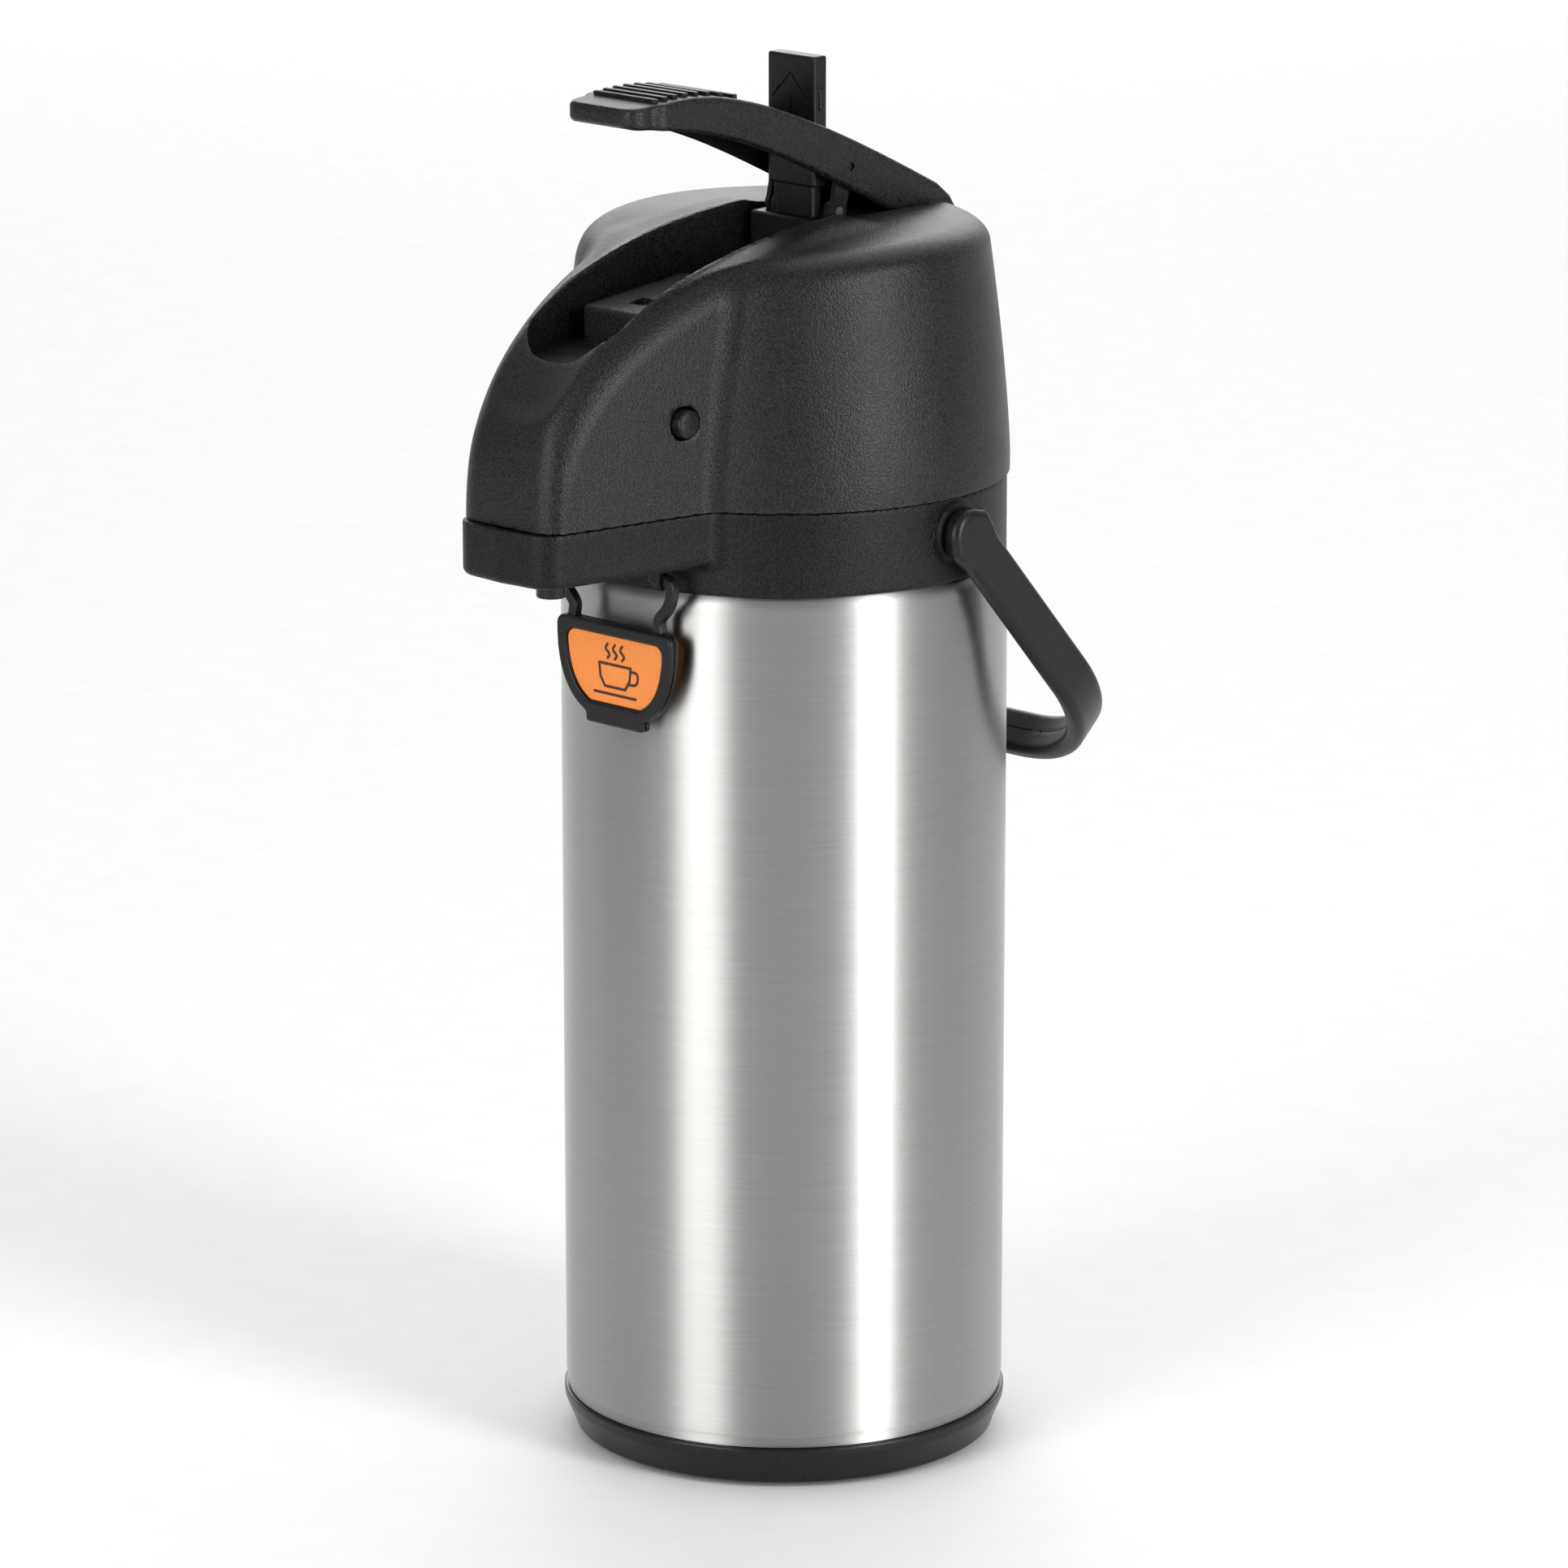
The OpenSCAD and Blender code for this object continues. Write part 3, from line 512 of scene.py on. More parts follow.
def beak_plan(x, y, inset=0.0):
    """Plan of the beak: straight sides that narrow forward, round corners, a bowed front."""
    left = [(-25, 0), (-25, -39.3), (-11.55, -110.4)]
    right = [(-px, py) for px, py in left[::-1]]
    return polygon(x, y, [right[-1], *left, (0, -111.3), *right[:-1]]) - 8.5 + inset


NOSE = bezier(
    [(-BEAK_REACH, SEAM_Z), (-BEAK_REACH, SEAM_Z + 47), (-76, HEAD_TOP), (20, HEAD_TOP)], 44
)


def nose(x, y, z):
    """Signed distance to the beak's crowned top and front surface."""
    crowned = z + 0.0042 * np.minimum(np.abs(x), 21) ** 2
    return convex(y, crowned, [(90, HEAD_TOP), *NOSE[::-1], (-BEAK_REACH, SEAM_Z - 60)])


def dome(x, y, z):
    """The round part of the head: sides that taper upwards and a slightly crowned top."""
    rho = np.hypot(x, y)
    taper = 67.5 - 6.1 * np.maximum((z - 305) / 63, 0) ** 1.4
    crown = HEAD_TOP - 0.0006 * rho**2
    return meet(rho - taper, z - crown, 9.5)


def well(x, y, z):
    """Space the lever drops into: side walls, a round front end, a falling floor, an open back."""
    rear = rect(x, y - 11.1, WELL_HALF, 49.1, 1.5)
    taper = polygon(x, y, [(WELL_HALF, -37), (-WELL_HALF, -37), (-17.37, -85.3), (17.37, -85.3)])
    plan = np.minimum(np.minimum(rear, taper), rect(x, y + 80, 17.4, 16.5, 12))
    fall = np.minimum(345.2 + (y + 86) * 1.3 / 14, 345.2 + (y + 86) * 4.2 / 24)
    floor = np.minimum(WELL_FLOOR, fall)
    back = block(x, y, z, (-WELL_HALF, 50, WELL_SILL), (WELL_HALF, 90, 420))
    return np.minimum(meet(plan, floor - z), back)


def dish(x, y, z):
    """Landing for the thumb in front of the well: a shallow channel with a round lower end."""
    radius, depth = 40, 3
    lift = radius - depth
    line = []
    for (ay, az), (by, bz) in zip(NOSE[14:24:3], NOSE[15:25:3]):
        n = math.hypot(by - ay, bz - az)
        line.append((ay - (bz - az) / n * lift, az + (by - ay) / n * lift))
    return np.hypot(x, path(y, z, line)) - radius


def head_outside(x, y, z):
    """The head as if it were solid, with the landing and the well cut in."""
    body = join(dome(x, y, z), beak_plan(x, y), 3.5)
    body = meet(body, nose(x, y, z), 9)
    body = cut(body, dish(x, y, z), 1.2)
    return cut(body, well(x, y, z), 0.7)


SCREW_CIRCLE = 60.6
SCREWS = [
    (SCREW_CIRCLE * math.cos(math.radians(a)), SCREW_CIRCLE * math.sin(math.radians(a)))
    for a in (40, 140, 220, 320)
]


def head_cover(x, y, z):
    """The head's shell, with its platform, screw bosses, pivot bosses and hinge strap."""
    outside = head_outside(x, y, z)
    shell = cut(outside, outside + HEAD_WALL)
    platform = meet(
        rect(x, y + 51.2, 12, 20.8, 0.8),
        np.maximum(z - 361.7 - 0.1 * np.clip(y + 31, -41, 0), WELL_FLOOR - 1 - z),
        0.9,
    )
    shell = join(shell, platform, 0.8)
    shell = cut(shell, block(x, y, z, (-1.9, -64.1, 357.4), (4.9, -57.3, 365)))
    for sx, sy in SCREWS:
        boss = np.maximum(np.hypot(x - sx, y - sy) - 4.7, np.abs(z - 310.5) - 7)
        shell = np.minimum(shell, np.maximum(boss, outside + 1))
    for side in (-1, 1):
        shell = np.minimum(shell, rod(side * x, y, z, PIVOT, 6, WELL_HALF + 1, WELL_HALF + 4))
        shell = cut(shell, rod(side * x, y, z, BUTTON, 5, 20, 40), 0.7)
    knuckle = rod(x, y, z, HINGE, KNUCKLE_R, -7.7, 7.7, 0.6)
    strap = block(x, y, z, (-7.7, 64.6, SEAM_Z + SEAM_GAP), (7.7, 71.6, 304.3))
    shell = cut(shell, rod(x, y, z, PIVOT, 2.53, -22, 22))
    shell = meet(shell, SEAM_Z + SEAM_GAP - z, 0.5)
    shell = np.minimum(shell, np.minimum(knuckle, strap))
    shell = cut(shell, rod(x, y, z, HINGE, 2.06, -20, 20))
    for sx, sy in SCREWS:
        shell = cut(shell, np.maximum(np.hypot(x - sx, y - sy) - 1.45, z - 315))
    plunger_way = block(x, y, z, (-17, 2, WELL_FLOOR - 10), (17, 27, WELL_FLOOR + 2))
    shell = cut(shell, plunger_way)
    for side in (-1, 1):
        notch = block(side * x, y, z, (7.7, 66.9, 290), (19.7, 76.9, 310))
        shell = cut(shell, notch)
    return shell


HEAD_STEP = 1.16  # as fine as keeps the head under 200,000 triangles
cover = contour(
    "head_shell", head_cover, (-67.5, -119.8, 295), (67.5, 76.5, HEAD_TOP), HEAD_STEP
)
dress(cover, "head", textured, "textured_black", "head_cover")

# ---------------------------------------------------------------- collar


def collar(x, y, z):
    """The ring under the seam, with the beak's tray, the hubs, the lugs and the hinge."""
    rho = np.hypot(x, y)
    ring = meet(rho - COLLAR_R, np.maximum(COLLAR_Z0 - z, z - SEAM_Z), 0.8)
    ring = cut(ring, rho - COLLAR_IN)
    web = np.maximum(rho - COLLAR_IN - 0.5, MOUTH_R - rho)
    web = np.maximum(web, np.abs(z - WEB_Z0 - 1.25) - 1.25)
    tray = meet(beak_plan(x, y), z - SEAM_Z, 0.7)
    tray = meet(tray, TRAY_Z0 - z, 2.2)
    tray = cut(tray, np.maximum(beak_plan(x, y, TRAY_WALL), TRAY_Z0 + TRAY_WALL - z))
    tray = cut(tray, rho - COLLAR_IN)
    # Ring and tray meet in a fillet on the outside only.
    filleted = np.minimum(join(ring, tray, 2.5), web)
    plain = np.minimum(np.minimum(ring, tray), web)
    body = np.where((rho < COLLAR_IN) & (y > -60), plain, filleted)
    for side in (-1, 1):
        s = side * x
        hub = rod(s, y, z, BAIL, 9.2, 60, HUB_FACE, 0.4)
        keeper = block(s, y, z, (22.7, BUTTON[0] - 4, 293), (25.9, BUTTON[0] + 4, 295))
        eye = np.hypot(y - TAG[0], z - TAG[1]) - 3.3
        lug = np.minimum(eye, rect(y - TAG[0], z - 283, 3.3, 2.8))
        lug = meet(lug, np.abs(s - LUG_X - 1.2) - 1.2, 0.5)
        knuckle = rod(s, y, z, HINGE, KNUCKLE_R, 8, 18, 0.6)
        foot = block(s, y, z, (8, 64.5, HINGE[1] - 8), (18, 71, HINGE[1]), 0.8)
        for part in (hub, keeper, lug, knuckle, foot):
            body = np.minimum(body, part)
        body = cut(body, rod(s, y, z, TAG, 2.0, LUG_X - 1, LUG_X + 4))
        body = cut(body, rod(s, y, z, BAIL, BAIL_BORE, 59, 80))
    body = cut(body, rod(x, y, z, HINGE, 2.02, -20, 20))
    body = cut(body, rho - MOUTH_R)
    hose_way = block(x, y, z, (-5.6, -70, 287.9), (5.6, -58, 307.9))
    body = cut(body, hose_way)
    return cut(body, np.maximum(np.hypot(x, y - NOZZLE_Y) - 4.65, np.abs(z - 280) - 10))


step = 0.8
ring = contour("collar_shell", collar, (-67.3, -119.8, 275), (67.3, 76.2, 304.6), step)
dress(ring, "vessel", collar_black, "textured_black", "collar")

# ---------------------------------------------------------------- lever


def lever_side(y, z):
    """Side view of the lever, from its tip to behind the pivot."""
    crown, belly = bezier(LEVER_CROWN, 26), bezier(LEVER_BELLY, 20)
    outline = [(-78.2, 413), (-78.2, 416.6), *crown]
    outline += [(56, 377.2), (58.8, 373), (59.2, 368), PIVOT, (42.5, 363.5), *belly[::-1]]
    return polygon(y, z, outline)


def lever(x, y, z):
    """The lever: ribbed thumb pad, arched body hollow from below, slot, hub and pin holes."""
    crown = bezier(LEVER_CROWN, 26)
    pad = rect(x, y + 58, 14.3, 20, 5.5)
    flanges = rect(x, y - 1, LEVER_HALF, 69, 2.5)
    body = meet(join(pad, flanges, 2.5), lever_side(y, z), 1.5)
    hub = rod(x, y, z, PIVOT, 8.8, 0.4 - WELL_HALF, WELL_HALF - 0.4, 0.8)
    body = join(body, hub, 1.5)
    roof = [(p[0] - 0.6, p[1] - 2.5) for p in crown if -58 < p[0] < 40]
    hollow = polygon(y, z, [*roof, (40, 360), (-58, 390)])
    body = cut(body, np.maximum(hollow, np.abs(x) - (LEVER_HALF - 2)), 0.3)
    for ry, rz in bezier(LEVER_CROWN, 250)[35:134:14]:
        rib = rect(y - ry - 0.8, z - rz, 0.8, 1.15, 0.2)
        body = join(body, meet(rib, np.abs(x) - 12.6, 0.5), 0.15)
    slot = block(x, y, z, (-10.6, 1.8, 385), (10.6, 19.8, 412), 1.0)
    body = cut(body, slot, 0.5)
    body = cut(body, rod(x, y, z, PIVOT, 2.56, -30, 30))
    for s in (-1, 1):
        body = cut(body, rod(s * x, y, z, LEVER_PIN, 4.9, 11.8, LEVER_HALF - 2))
        body = cut(body, rod(s * x, y, z, LEVER_PIN, 1.3, LEVER_HALF - 1.0, LEVER_HALF + 3), 0.2)
    return body


step = 0.55
press = contour("pump_lever", lever, (-18.7, -78.3, 357.5), (18.7, 59.5, 420), step)
dress(press, "lever", textured, "satin_black", "lever")

# ---------------------------------------------------------------- lock bar, post, plunger


def lock_bar(x, y, z):
    """The hollow bar through the lever's slot, with side nubs and a plain arrow cut in."""
    body = block(x, y, z, (-9.5, 2.9, 385), (9.5, 8.5, 424), 0.8)
    for s in (-1, 1):
        nub = block(s * x, y, z, (9.0, 4.6, 408), (10.2, 7.2, 414.5), 0.45)
        body = join(body, nub, 0.3)
    chevron = path(x, z, [(-7.2, 411), (0, 418.5), (7.2, 411)]) - 0.3
    stem = path(x, z, [(0, 403), (0, 411)]) - 0.25
    body = cut(body, np.maximum(np.minimum(chevron, stem), y - 3.3), 0.1)
    return cut(body, block(x, y, z, (-8.6, 3.9, 380), (8.6, 7.5, 422.9)))


bar = contour("lock_slider", lock_bar, (-10.3, 2.8, 385), (10.3, 8.6, 424), 0.35)
dress(bar, "lock_bar", satin, "satin_black", "lock_bar")


def lock_post(x, y, z):
    """The tongue that the lock bar slides on, with a guide rail along each edge."""
    post = block(x, y, z, (-8.3, 4.2, PLUNGER_TOP), (8.3, 7.2, 412), 0.6)
    for s in (-1, 1):
        rail = block(s * x, y, z, (6.9, 4.05, PLUNGER_TOP), (7.7, 4.8, 411), 0.3)
        post = np.minimum(post, rail)
    return post


post = contour("lock_tongue", lock_post, (-8.4, 4.0, PLUNGER_TOP), (8.4, 7.3, 412), 0.45)
dress(post, "plunger", satin, "satin_black", "lock_post")


def plunger(x, y, z):
    """The box on the bellows, open below, with two ears for the link pins."""
    box = block(x, y, z, (-16.5, 2.5, 343), (16.5, 26.5, PLUNGER_TOP), 1.0)
    box = cut(box, block(x, y, z, (-14.5, 4.5, 340), (14.5, 24.5, PLUNGER_TOP - 3.6), 0.5))
    for s in (-1, 1):
        eye = np.hypot(y - PLUNGER_PIN[0], z - PLUNGER_PIN[1]) - 2.9
        ear = np.minimum(eye, rect(y - PLUNGER_PIN[0], z - 375, 2.9, 2.7))
        ear = meet(ear, np.abs(s * x - 10.85) - 0.95, 0.4)
        box = join(box, ear, 0.4)
        pocket_lo = (11.8, PLUNGER_PIN[0] - 3.8, PLUNGER_TOP - 1.6)
        pocket_hi = (13.9, PLUNGER_PIN[0] + 3.8, 385)
        box = cut(box, block(s * x, y, z, pocket_lo, pocket_hi))
        box = cut(box, rod(s * x, y, z, PLUNGER_PIN, 1.52, 8, 14))
    return box


piston = contour("plunger_box", plunger, (-16.6, 2.4, 343), (16.6, 26.6, 381), 0.8)
dress(piston, "plunger", satin, "satin_black", "plunger")

# ---------------------------------------------------------------- release buttons


def button(x, y, z):
    """A release button: domed cap, flange, spring stem, and a latch arm with its hook."""
    r = np.hypot(y - BUTTON[0], z - BUTTON[1])
    cap = meet(r - 4.25, np.maximum(21 - x, x - (BUTTON_X + 3.2) + 0.03 * r * r), 1.0)
    flange = rod(x, y, z, BUTTON, 6.3, 19, 21.4, 0.3)
    stem = rod(x, y, z, BUTTON, 2, 5.5, 20, 0.3)
    arm = block(x, y, z, (19, BUTTON[0] - 3, 289), (21.2, BUTTON[0] + 3, BUTTON[1]), 0.5)
    hook = block(x, y, z, (20, BUTTON[0] - 3, 289), (22.3, BUTTON[0] + 3, 292), 0.5)
    return np.minimum(np.minimum(np.minimum(cap, flange), stem), join(arm, hook, 0.5))


for side, sign in (("right", 1), ("left", -1)):
    low, high = sorted((5.4 * sign, 30 * sign))
    cap = contour(
        "button_" + side,
        lambda x, y, z, s=sign: button(s * x, y, z),
        (low, BUTTON[0] - 6.4, 289),
        (high, BUTTON[0] + 6.4, BUTTON[1] + 6.4),
        0.6,
    )
    dress(cap, "button_" + side, textured, "satin_black", "release_button_" + side)

# ---------------------------------------------------------------- bail


def bail(x, v, w):
    """The bail in its own plane: v across the strap, w along it from the pivots, downwards."""
    outer, t, r = BODY_R + 8, 6.0, 44.0
    long = BAIL_LEN + t / 2
    above = 200  # the outlines run on past the pivots, where the strap itself has ended
    out = rect(x, w - (long - above) / 2, outer, (long + above) / 2, r)
    inn = rect(x, w - (long - t - above) / 2, outer - t, (long - t + above) / 2, r - t)
    side = join(np.maximum(np.abs(v) - 7.25, -w), np.hypot(v, w) - 7.9, 4)
    strap = meet(np.maximum(out, -inn), side, 2.4)
    for s in (-1, 1):
        strap = cut(strap, rod(s * x, v, w, (0, 0), BAIL_BORE, outer - t - 1, outer - 2))
    return cut(strap, np.maximum(np.abs(v) - 0.25, np.abs(inn) - 0.35))


step = 0.75
handle = contour("bail_strap", bail, (-75, -8, -8), (75, 8, BAIL_LEN + 3), step)
hang = math.radians(BAIL_HANG)
turn = Matrix(
    (
        (1, 0, 0, 0),
        (0, math.cos(hang), math.sin(hang), BAIL[0] * MM),
        (0, math.sin(hang), -math.cos(hang), BAIL[1] * MM),
        (0, 0, 0, 1),
    )
)
handle.data.transform(turn)
handle.data.flip_normals()
dress(handle, "bail", satin, "satin_black", "bail_handle")

# ---------------------------------------------------------------- tag


def cup(x, z, inset=0.0):
    """Outline of the tag: a cup bowl, full above and drawn in to its foot."""
    half = []
    for a in np.radians(np.arange(0, 68, 4.5)):
        half.append((TAG_HALF * math.cos(a) ** 0.8, TAG_TOP - 2.5 - 27.5 * math.sin(a) ** 0.8))
    points = [(-p[0], p[1]) for p in half] + half[::-1]
    points = [(TAG_HALF, TAG_TOP + 6), (-TAG_HALF, TAG_TOP + 6)] + points
    body = polygon(x, z, points)
    return meet(body + inset, z - TAG_TOP + inset, 3.2)


def hanger(x, z):
    """An S-shaped strip from the cup's rim up to its hook."""
    line = [(18.2, TAG_TOP - 1.5), (17.4, 266), (17.4, 268.2), (21.2, 271.8), (22.6, 275.5)]
    line += [(22.4, TAG[1]), (15.4, TAG[1])]
    return path(np.abs(x), z, smooth_line(line, 2)) - 1.6


def tag_frame(x, y, z):
    """Two halves that meet in a groove, a stepped foot, and the hangers."""
    v = np.abs(y - TAG[0])
    foot = rect(x, z - 235.9, 11.6, 2.9, 1.0)
    step = rect(x, z - 239.6, 13.4, 1.6, 0.6)
    outline = join(cup(x, z), np.minimum(foot, step), 0.8)
    opening = meet(cup(x, z, 3.8), TAG_FLOOR - z, 0.6)
    plate = meet(cut(outline, opening), v - 2.0, 0.8)
    plate = cut(plate, np.maximum(v - 0.22, -(outline + 0.5)))
    hooks = meet(hanger(x, z), v - 1.5, 0.6)
    return join(plate, hooks, 0.5)


tag = contour("tag_border", tag_frame, (-24.2, TAG[0] - 2.1, 233), (24.2, TAG[0] + 2.1, 281.9), 0.4)
dress(tag, "tag", satin, "satin_black", "tag_frame")


def insert(x, y, z):
    """The orange panel in the tag's window."""
    outline = meet(cup(x, z, 3.9), 238.7 - z, 0.6)
    return meet(outline, np.maximum(TAG[0] - 1.1 - y, y - TAG[0] - 0.9), 0.25)


panel = contour("tag_panel", insert, (-20, TAG[0] - 1.2, 238.5), (20, TAG[0] + 1.0, 260.4), 0.4)
dress(panel, "tag", orange, "orange", "tag_insert")


def pictogram(x, y, z):
    """A cup with steam: generic lines printed on the panel."""
    side = [(6.5, 251.6), (6.0, 247.6), (4.2, 244.8)]
    left = [(-px, pz) for px, pz in side]
    ear = smooth_line([(6.3, 250.6), (9.6, 250.6), (9.2, 246.8), (5.8, 246.6)])
    lines = path(x, z, [*left, *side[::-1], left[0]])
    lines = np.minimum(lines, path(x, z, [(-8.5, 242.6), (8.5, 242.6)]))
    lines = np.minimum(lines, path(x, z, ear))
    for sx in (-3, 0, 3):
        steam = smooth_line([(sx, 253.4), (sx + 1.1, 254.6), (sx - 1.1, 256.2), (sx, 257.6)])
        lines = np.minimum(lines, path(x, z, steam))
    return np.maximum(lines - 0.42, np.maximum(TAG[0] - 1.22 - y, y - TAG[0] + 1.0))


icon = contour("tag_pictogram", pictogram, (-10, TAG[0] - 1.3, 241), (10, TAG[0] - 0.9, 258), 0.2)
dress(icon, "tag", print_brown, "orange")

# ---------------------------------------------------------------- turned pieces

shell_out = rounded(
    [(BODY_R, 13.7), (BODY_R, 273.4), (BODY_R - 6, 277.6), (46, 280.5), (42.3, 282.2), (42.3, 284)],
    [0.3, 4.5, 2, 2, 0.5, 0],
)
shell_in = [(41.5, 284), (41.5, 281.8), (45.6, 279.8), (60.2, 276.9), (66.2, 271.5), (66.2, 13.7)]
shell = lathe("steel_body", shell_out + shell_in)
dress(shell, "vessel", steel, "brushed_steel", "outer_shell")

base_side = rounded(
    [(64.0, 1.5), (64.7, 3.8), (67.5, 10.5), (67.6, 13.5), (66.0, 13.5)],
    [0.8, 1.5, 3, 0.7, 0],
)
base = lathe(
    "base_ring",
    [(2.6, 2.5), (8, 2.5), (8, 5.3), (62.2, 5.3), (61.6, 1.5), *base_side]
    + [(65.9, 17), (63.8, 17), (63.8, 7.8), (8, 7.8), (8, 14), (2.6, 14)],
)
dress(base, "vessel", dark_smooth, "base_black", "base_cap")

spout = lathe(
    "spout",
    rounded(
        [(3.2, 276.6), (4.45, 276.6), (4.45, 286.8), (6.4, 286.8), (6.4, 298.6), (3.2, 298.6)],
        [0.4, 0.6, 0, 0.5, 0.5, 0.4],
    ),
    64,
    (0, NOZZLE_Y),
)
dress(spout, "vessel", dark_smooth, "base_black", "nozzle")

turntable_rim = rounded(
    [(60, 1.0), (60, 4.0), (50, 4.0), (50, 5.0), (45, 5.0), (45, 4.0)],
    [0.8, 1.0, 0.2, 0.4, 0.4, 0.2],
)
turntable = lathe(
    "turntable", [(8.1, 2.8), (12.3, 2.8), (12.3, 1.0), *turntable_rim, (8.1, 4.0)]
)
dress(turntable, "foot", textured, "textured_black", "swivel_foot")

for side in (-1, 1):
    washer = lathe(
        "washer_right" if side > 0 else "washer_left",
        rounded([(3.55, 0), (8.9, 0), (8.9, 0.75), (8.3, 0.75), (8.3, 1.4), (3.55, 1.4)], 0.15),
        96,
    )
    washer.data.transform(
        Matrix.Translation((side * HUB_FACE * MM, BAIL[0] * MM, BAIL[1] * MM))
        @ Matrix.Rotation(side * math.pi / 2, 4, "Y")
    )
    dress(washer, "vessel", satin, "satin_black", "bail_washers")

# ---------------------------------------------------------------- bellows and springs

FOLDS = 6
BELLOWS_WALL = 1.1
pitch = (BELLOWS_TOP - BELLOWS_Z0) / FOLDS
folds = []
for i in range(FOLDS):
    z = BELLOWS_Z0 + pitch * i
    folds += [(31.0, z + 0.1), (32.5, z + pitch * 0.3), (35.1, z + pitch * 0.45)]
    folds += [(35.1, z + pitch * 0.55), (32.5, z + pitch * 0.7)]
folds.append((31.0, BELLOWS_TOP - 0.1))
inner_side = [(r - BELLOWS_WALL, z) for r, z in folds[::-1]]
bellows = lathe("air_bellows", folds + inner_side, 128, sharp=60)
dress(bellows, "head", rubber, "rubber", "bellows")


def coil(name, radius, wire, length, turns):
    """A coil spring along Z from the origin, closed at its ends."""
    steps, sides = turns * 28, 10  # sections along the wire, corners round it
    u = np.linspace(0, 1, steps + 1)
    a = 2 * math.pi * turns * u
    b = np.linspace(0, 2 * math.pi, sides, endpoint=False)
    q = radius + wire * np.cos(b)[None, :]
    rise = wire + (length - 2 * wire) * u[:, None] + wire * np.sin(b)[None, :]
    v = np.stack([q * np.cos(a)[:, None], q * np.sin(a)[:, None], rise], axis=2)
    centre = v.mean(axis=1)
    v = v.reshape(-1, 3)
    i, j = np.meshgrid(np.arange(steps), np.arange(sides), indexing="ij")
    quads = strip(i * sides, (i + 1) * sides, j, (j + 1) % sides)
    caps = []
    for end, index in ((0, len(v)), (steps, len(v) + 1)):
        for k in range(0, sides, 2):
            ring = [end * sides + (k + s) % sides for s in range(3)]
            caps.append([index, *(ring if end == 0 else ring[::-1])])
    v = np.concatenate([v, centre[[0, -1]]])
    return mesh_object(name, v * MM, np.concatenate([quads, np.array(caps)]))


spring = coil("pump_spring", 23, 1.1, 37.3, 5)
spring.data.transform(Matrix.Translation((0, 0, (BELLOWS_Z0 + 0.1) * MM)))
dress(spring, "head", pin_steel, "pin_steel", "return_spring")
for piece in (bellows, spring):
    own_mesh(piece)

for side, sign in (("right", 1), ("left", -1)):
    small = coil("latch_spring_" + side, 3.2, 0.4, 6.5, 4)
    small.data.transform(
        Matrix.Translation((sign * 12.2 * MM, BUTTON[0] * MM, BUTTON[1] * MM))
        @ Matrix.Rotation(sign * math.pi / 2, 4, "Y")
    )
    dress(small, "head", pin_steel, "pin_steel", "button_spring_" + side)
    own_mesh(small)

# ---------------------------------------------------------------- carried-over nodes

carried = {
    "anti_slip_pad": rubber,
    "retaining_screw": pin_steel,
    "shell_bottom": liner_steel,
    "inner_liner": liner_steel,
    "liner_bottom_cap": liner_steel,
    "liner_neck": liner_steel,
    "mouth_gasket": silicone,
    "stopper": satin,
    "siphon_tube": silicone,
    "outlet_elbow": satin,
    "outlet_hose": silicone,
    "bail_pins": pin_steel,
    "lid_hinge_pin": pin_steel,
    "head_base": satin,
    "head_screws": pin_steel,
    "lid_gasket": silicone,
    "lever_pivot_pin": pin_steel,
    "lever_link_pins": pin_steel,
    "pressure_plate": satin,
    "intake_valve": rubber,
    "link_pins": pin_steel,
    "link_straps": satin,
}
for node, mat in carried.items():
    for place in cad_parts[node].material_slots:
        place.material = mat

# ---------------------------------------------------------------- floor, light, camera

AZIMUTH, ELEVATION = 43.65, 14.45  # the camera's place, in degrees, from straight in front
DISTANCE, LENS = 2.25, 171.0  # metres, millimetres
TARGET = Vector((0, 0, 0.2022))


def direction(azimuth, elevation):
    """Unit vector towards an azimuth and elevation in degrees. Azimuth 0 is -Y."""
    a, e = math.radians(azimuth), math.radians(elevation)
    return Vector((math.sin(a) * math.cos(e), -math.cos(a) * math.cos(e), math.sin(e)))


def floor():
    """A wide pale disc, as rings that get larger outwards."""
    radii, sides, height = [0.0001, 0.5, 2, 8, 30], 64, -0.0001
    turn = np.linspace(0, 2 * math.pi, sides, endpoint=False)
    v = np.array([[r * math.cos(t), r * math.sin(t), height] for r in radii for t in turn])
    i, j = np.meshgrid(np.arange(len(radii) - 1), np.arange(sides), indexing="ij")
    obj = mesh_object("floor", v, strip(i * sides, (i + 1) * sides, j, (j + 1) % sides))
    mat, tree, shader = new_material("floor_paper", 0.7)
    paper = noise(tree, 60, 3.0)
    tone = ramp(tree, paper.outputs["Fac"], [(0.3, (0.8, 0.8, 0.8)), (0.7, (0.82, 0.82, 0.82))])
    tree.links.new(tone.outputs["Color"], shader.inputs["Base Color"])
    obj.data.materials.append(mat)


floor()


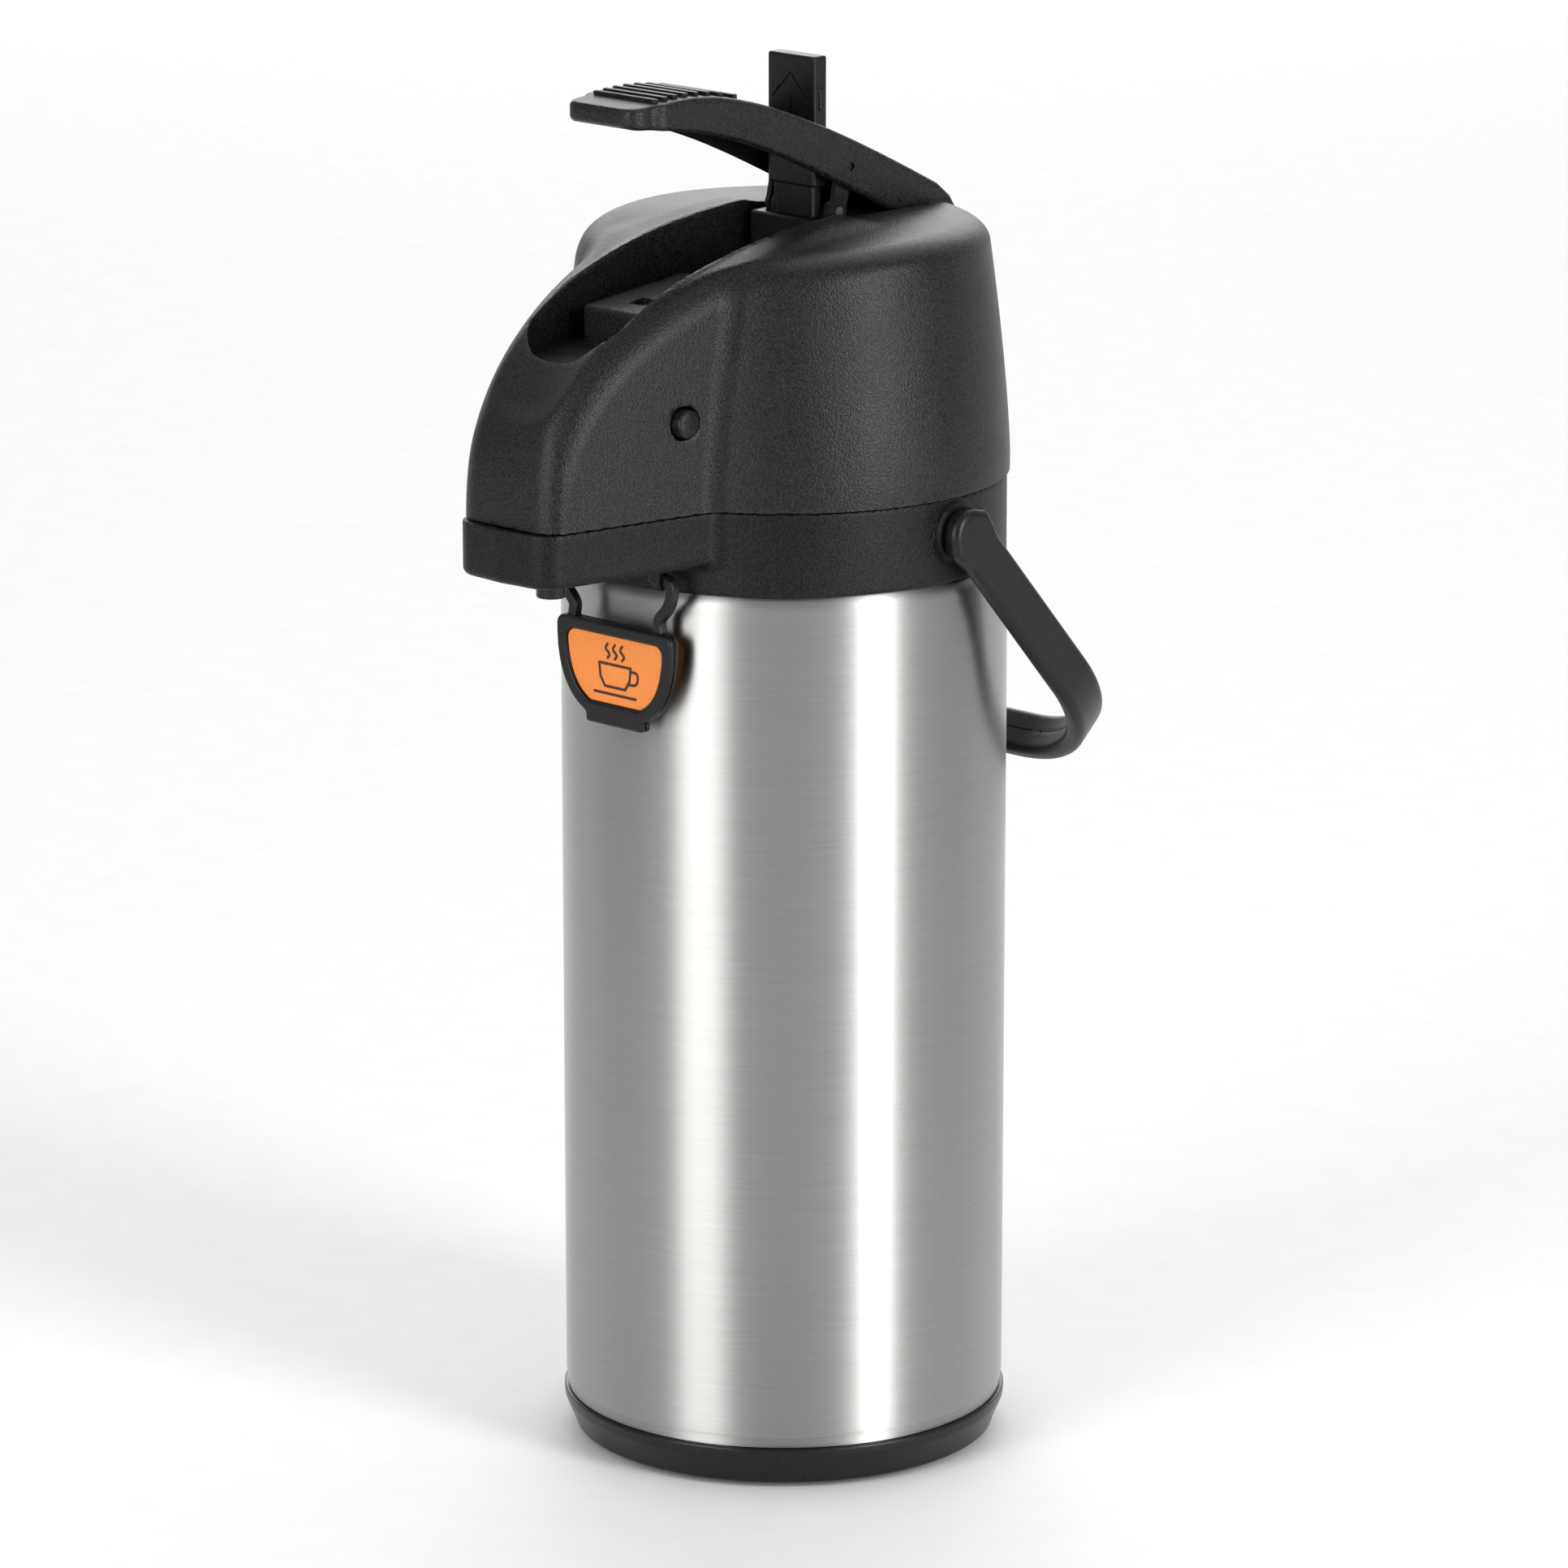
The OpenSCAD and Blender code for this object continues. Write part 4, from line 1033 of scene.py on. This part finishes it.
def studio():
    """A pale room, dark to either side and straight behind the camera, with an even ceiling."""
    world = bpy.data.worlds.new("studio")
    bpy.context.scene.world = world
    world.use_nodes = True
    tree = world.node_tree
    where = tree.nodes.new("ShaderNodeTexCoord")
    toward = tree.nodes.new("ShaderNodeVectorMath")
    toward.operation = "DOT_PRODUCT"
    toward.inputs[1].default_value = direction(AZIMUTH, 0) * 0.5
    tree.links.new(where.outputs["Generated"], toward.inputs[0])
    shift = tree.nodes.new("ShaderNodeMath")
    shift.inputs[1].default_value = 0.5
    tree.links.new(toward.outputs["Value"], shift.inputs[0])
    walls = [(0, 1.0), (0.2, 0.7), (0.4, 0.12), (0.6, 0.12), (0.75, 0.7), (0.92, 0.5)]
    walls += [(0.965, 0.02), (1, 0.02)]
    wall = ramp(tree, shift.outputs["Value"], [(at, (v, v, v)) for at, v in walls])
    axes = tree.nodes.new("ShaderNodeSeparateXYZ")
    tree.links.new(where.outputs["Generated"], axes.inputs[0])
    height = tree.nodes.new("ShaderNodeMapRange")
    height.inputs["From Min"].default_value, height.inputs["From Max"].default_value = 0.2, 0.75
    tree.links.new(axes.outputs["Z"], height.inputs["Value"])
    mix = tree.nodes.new("ShaderNodeMix")
    mix.data_type = "RGBA"
    mix.inputs["B"].default_value = (0.6, 0.6, 0.6, 1)
    tree.links.new(height.outputs["Result"], mix.inputs["Factor"])
    tree.links.new(wall.outputs["Color"], mix.inputs["A"])
    tree.links.new(mix.outputs["Result"], tree.nodes["Background"].inputs["Color"])


studio()


def softbox(name, azimuth, elevation, distance, width, height, watts, aim=(0, 0, 0.2)):
    """A rectangular light that looks at its aim from a direction. Sizes are in metres."""
    light = bpy.data.lights.new(name, "AREA")
    light.shape, light.size, light.size_y, light.energy = "RECTANGLE", width, height, watts
    obj = bpy.data.objects.new(name, light)
    aim = Vector(aim)
    obj.location = aim + direction(azimuth, elevation) * distance
    obj.rotation_mode = "QUATERNION"
    obj.rotation_quaternion = (aim - obj.location).to_track_quat("-Z", "Y")
    bpy.context.scene.collection.objects.link(obj)


softbox("key", AZIMUTH + 48, 16, 2.6, 0.75, 1.8, 56)
softbox("fill", AZIMUTH - 43, 16, 2.6, 1.1, 1.8, 37)
softbox("top", AZIMUTH + 165, 60, 2.4, 2.0, 1.6, 14)
softbox("backdrop", AZIMUTH + 180, 40, 3.0, 3.5, 1.5, 52, (-1.4, 1.4, 0))

camera = bpy.data.objects.new("camera", bpy.data.cameras.new("camera"))
camera.data.lens = LENS
camera.data.clip_start, camera.data.clip_end = 0.05, 100
camera.location = TARGET + direction(AZIMUTH, ELEVATION) * DISTANCE
camera.rotation_mode = "QUATERNION"
camera.rotation_quaternion = (TARGET - camera.location).to_track_quat("-Z", "Y")
bpy.context.scene.collection.objects.link(camera)
bpy.context.scene.camera = camera
bpy.context.scene.view_settings.view_transform = "Standard"
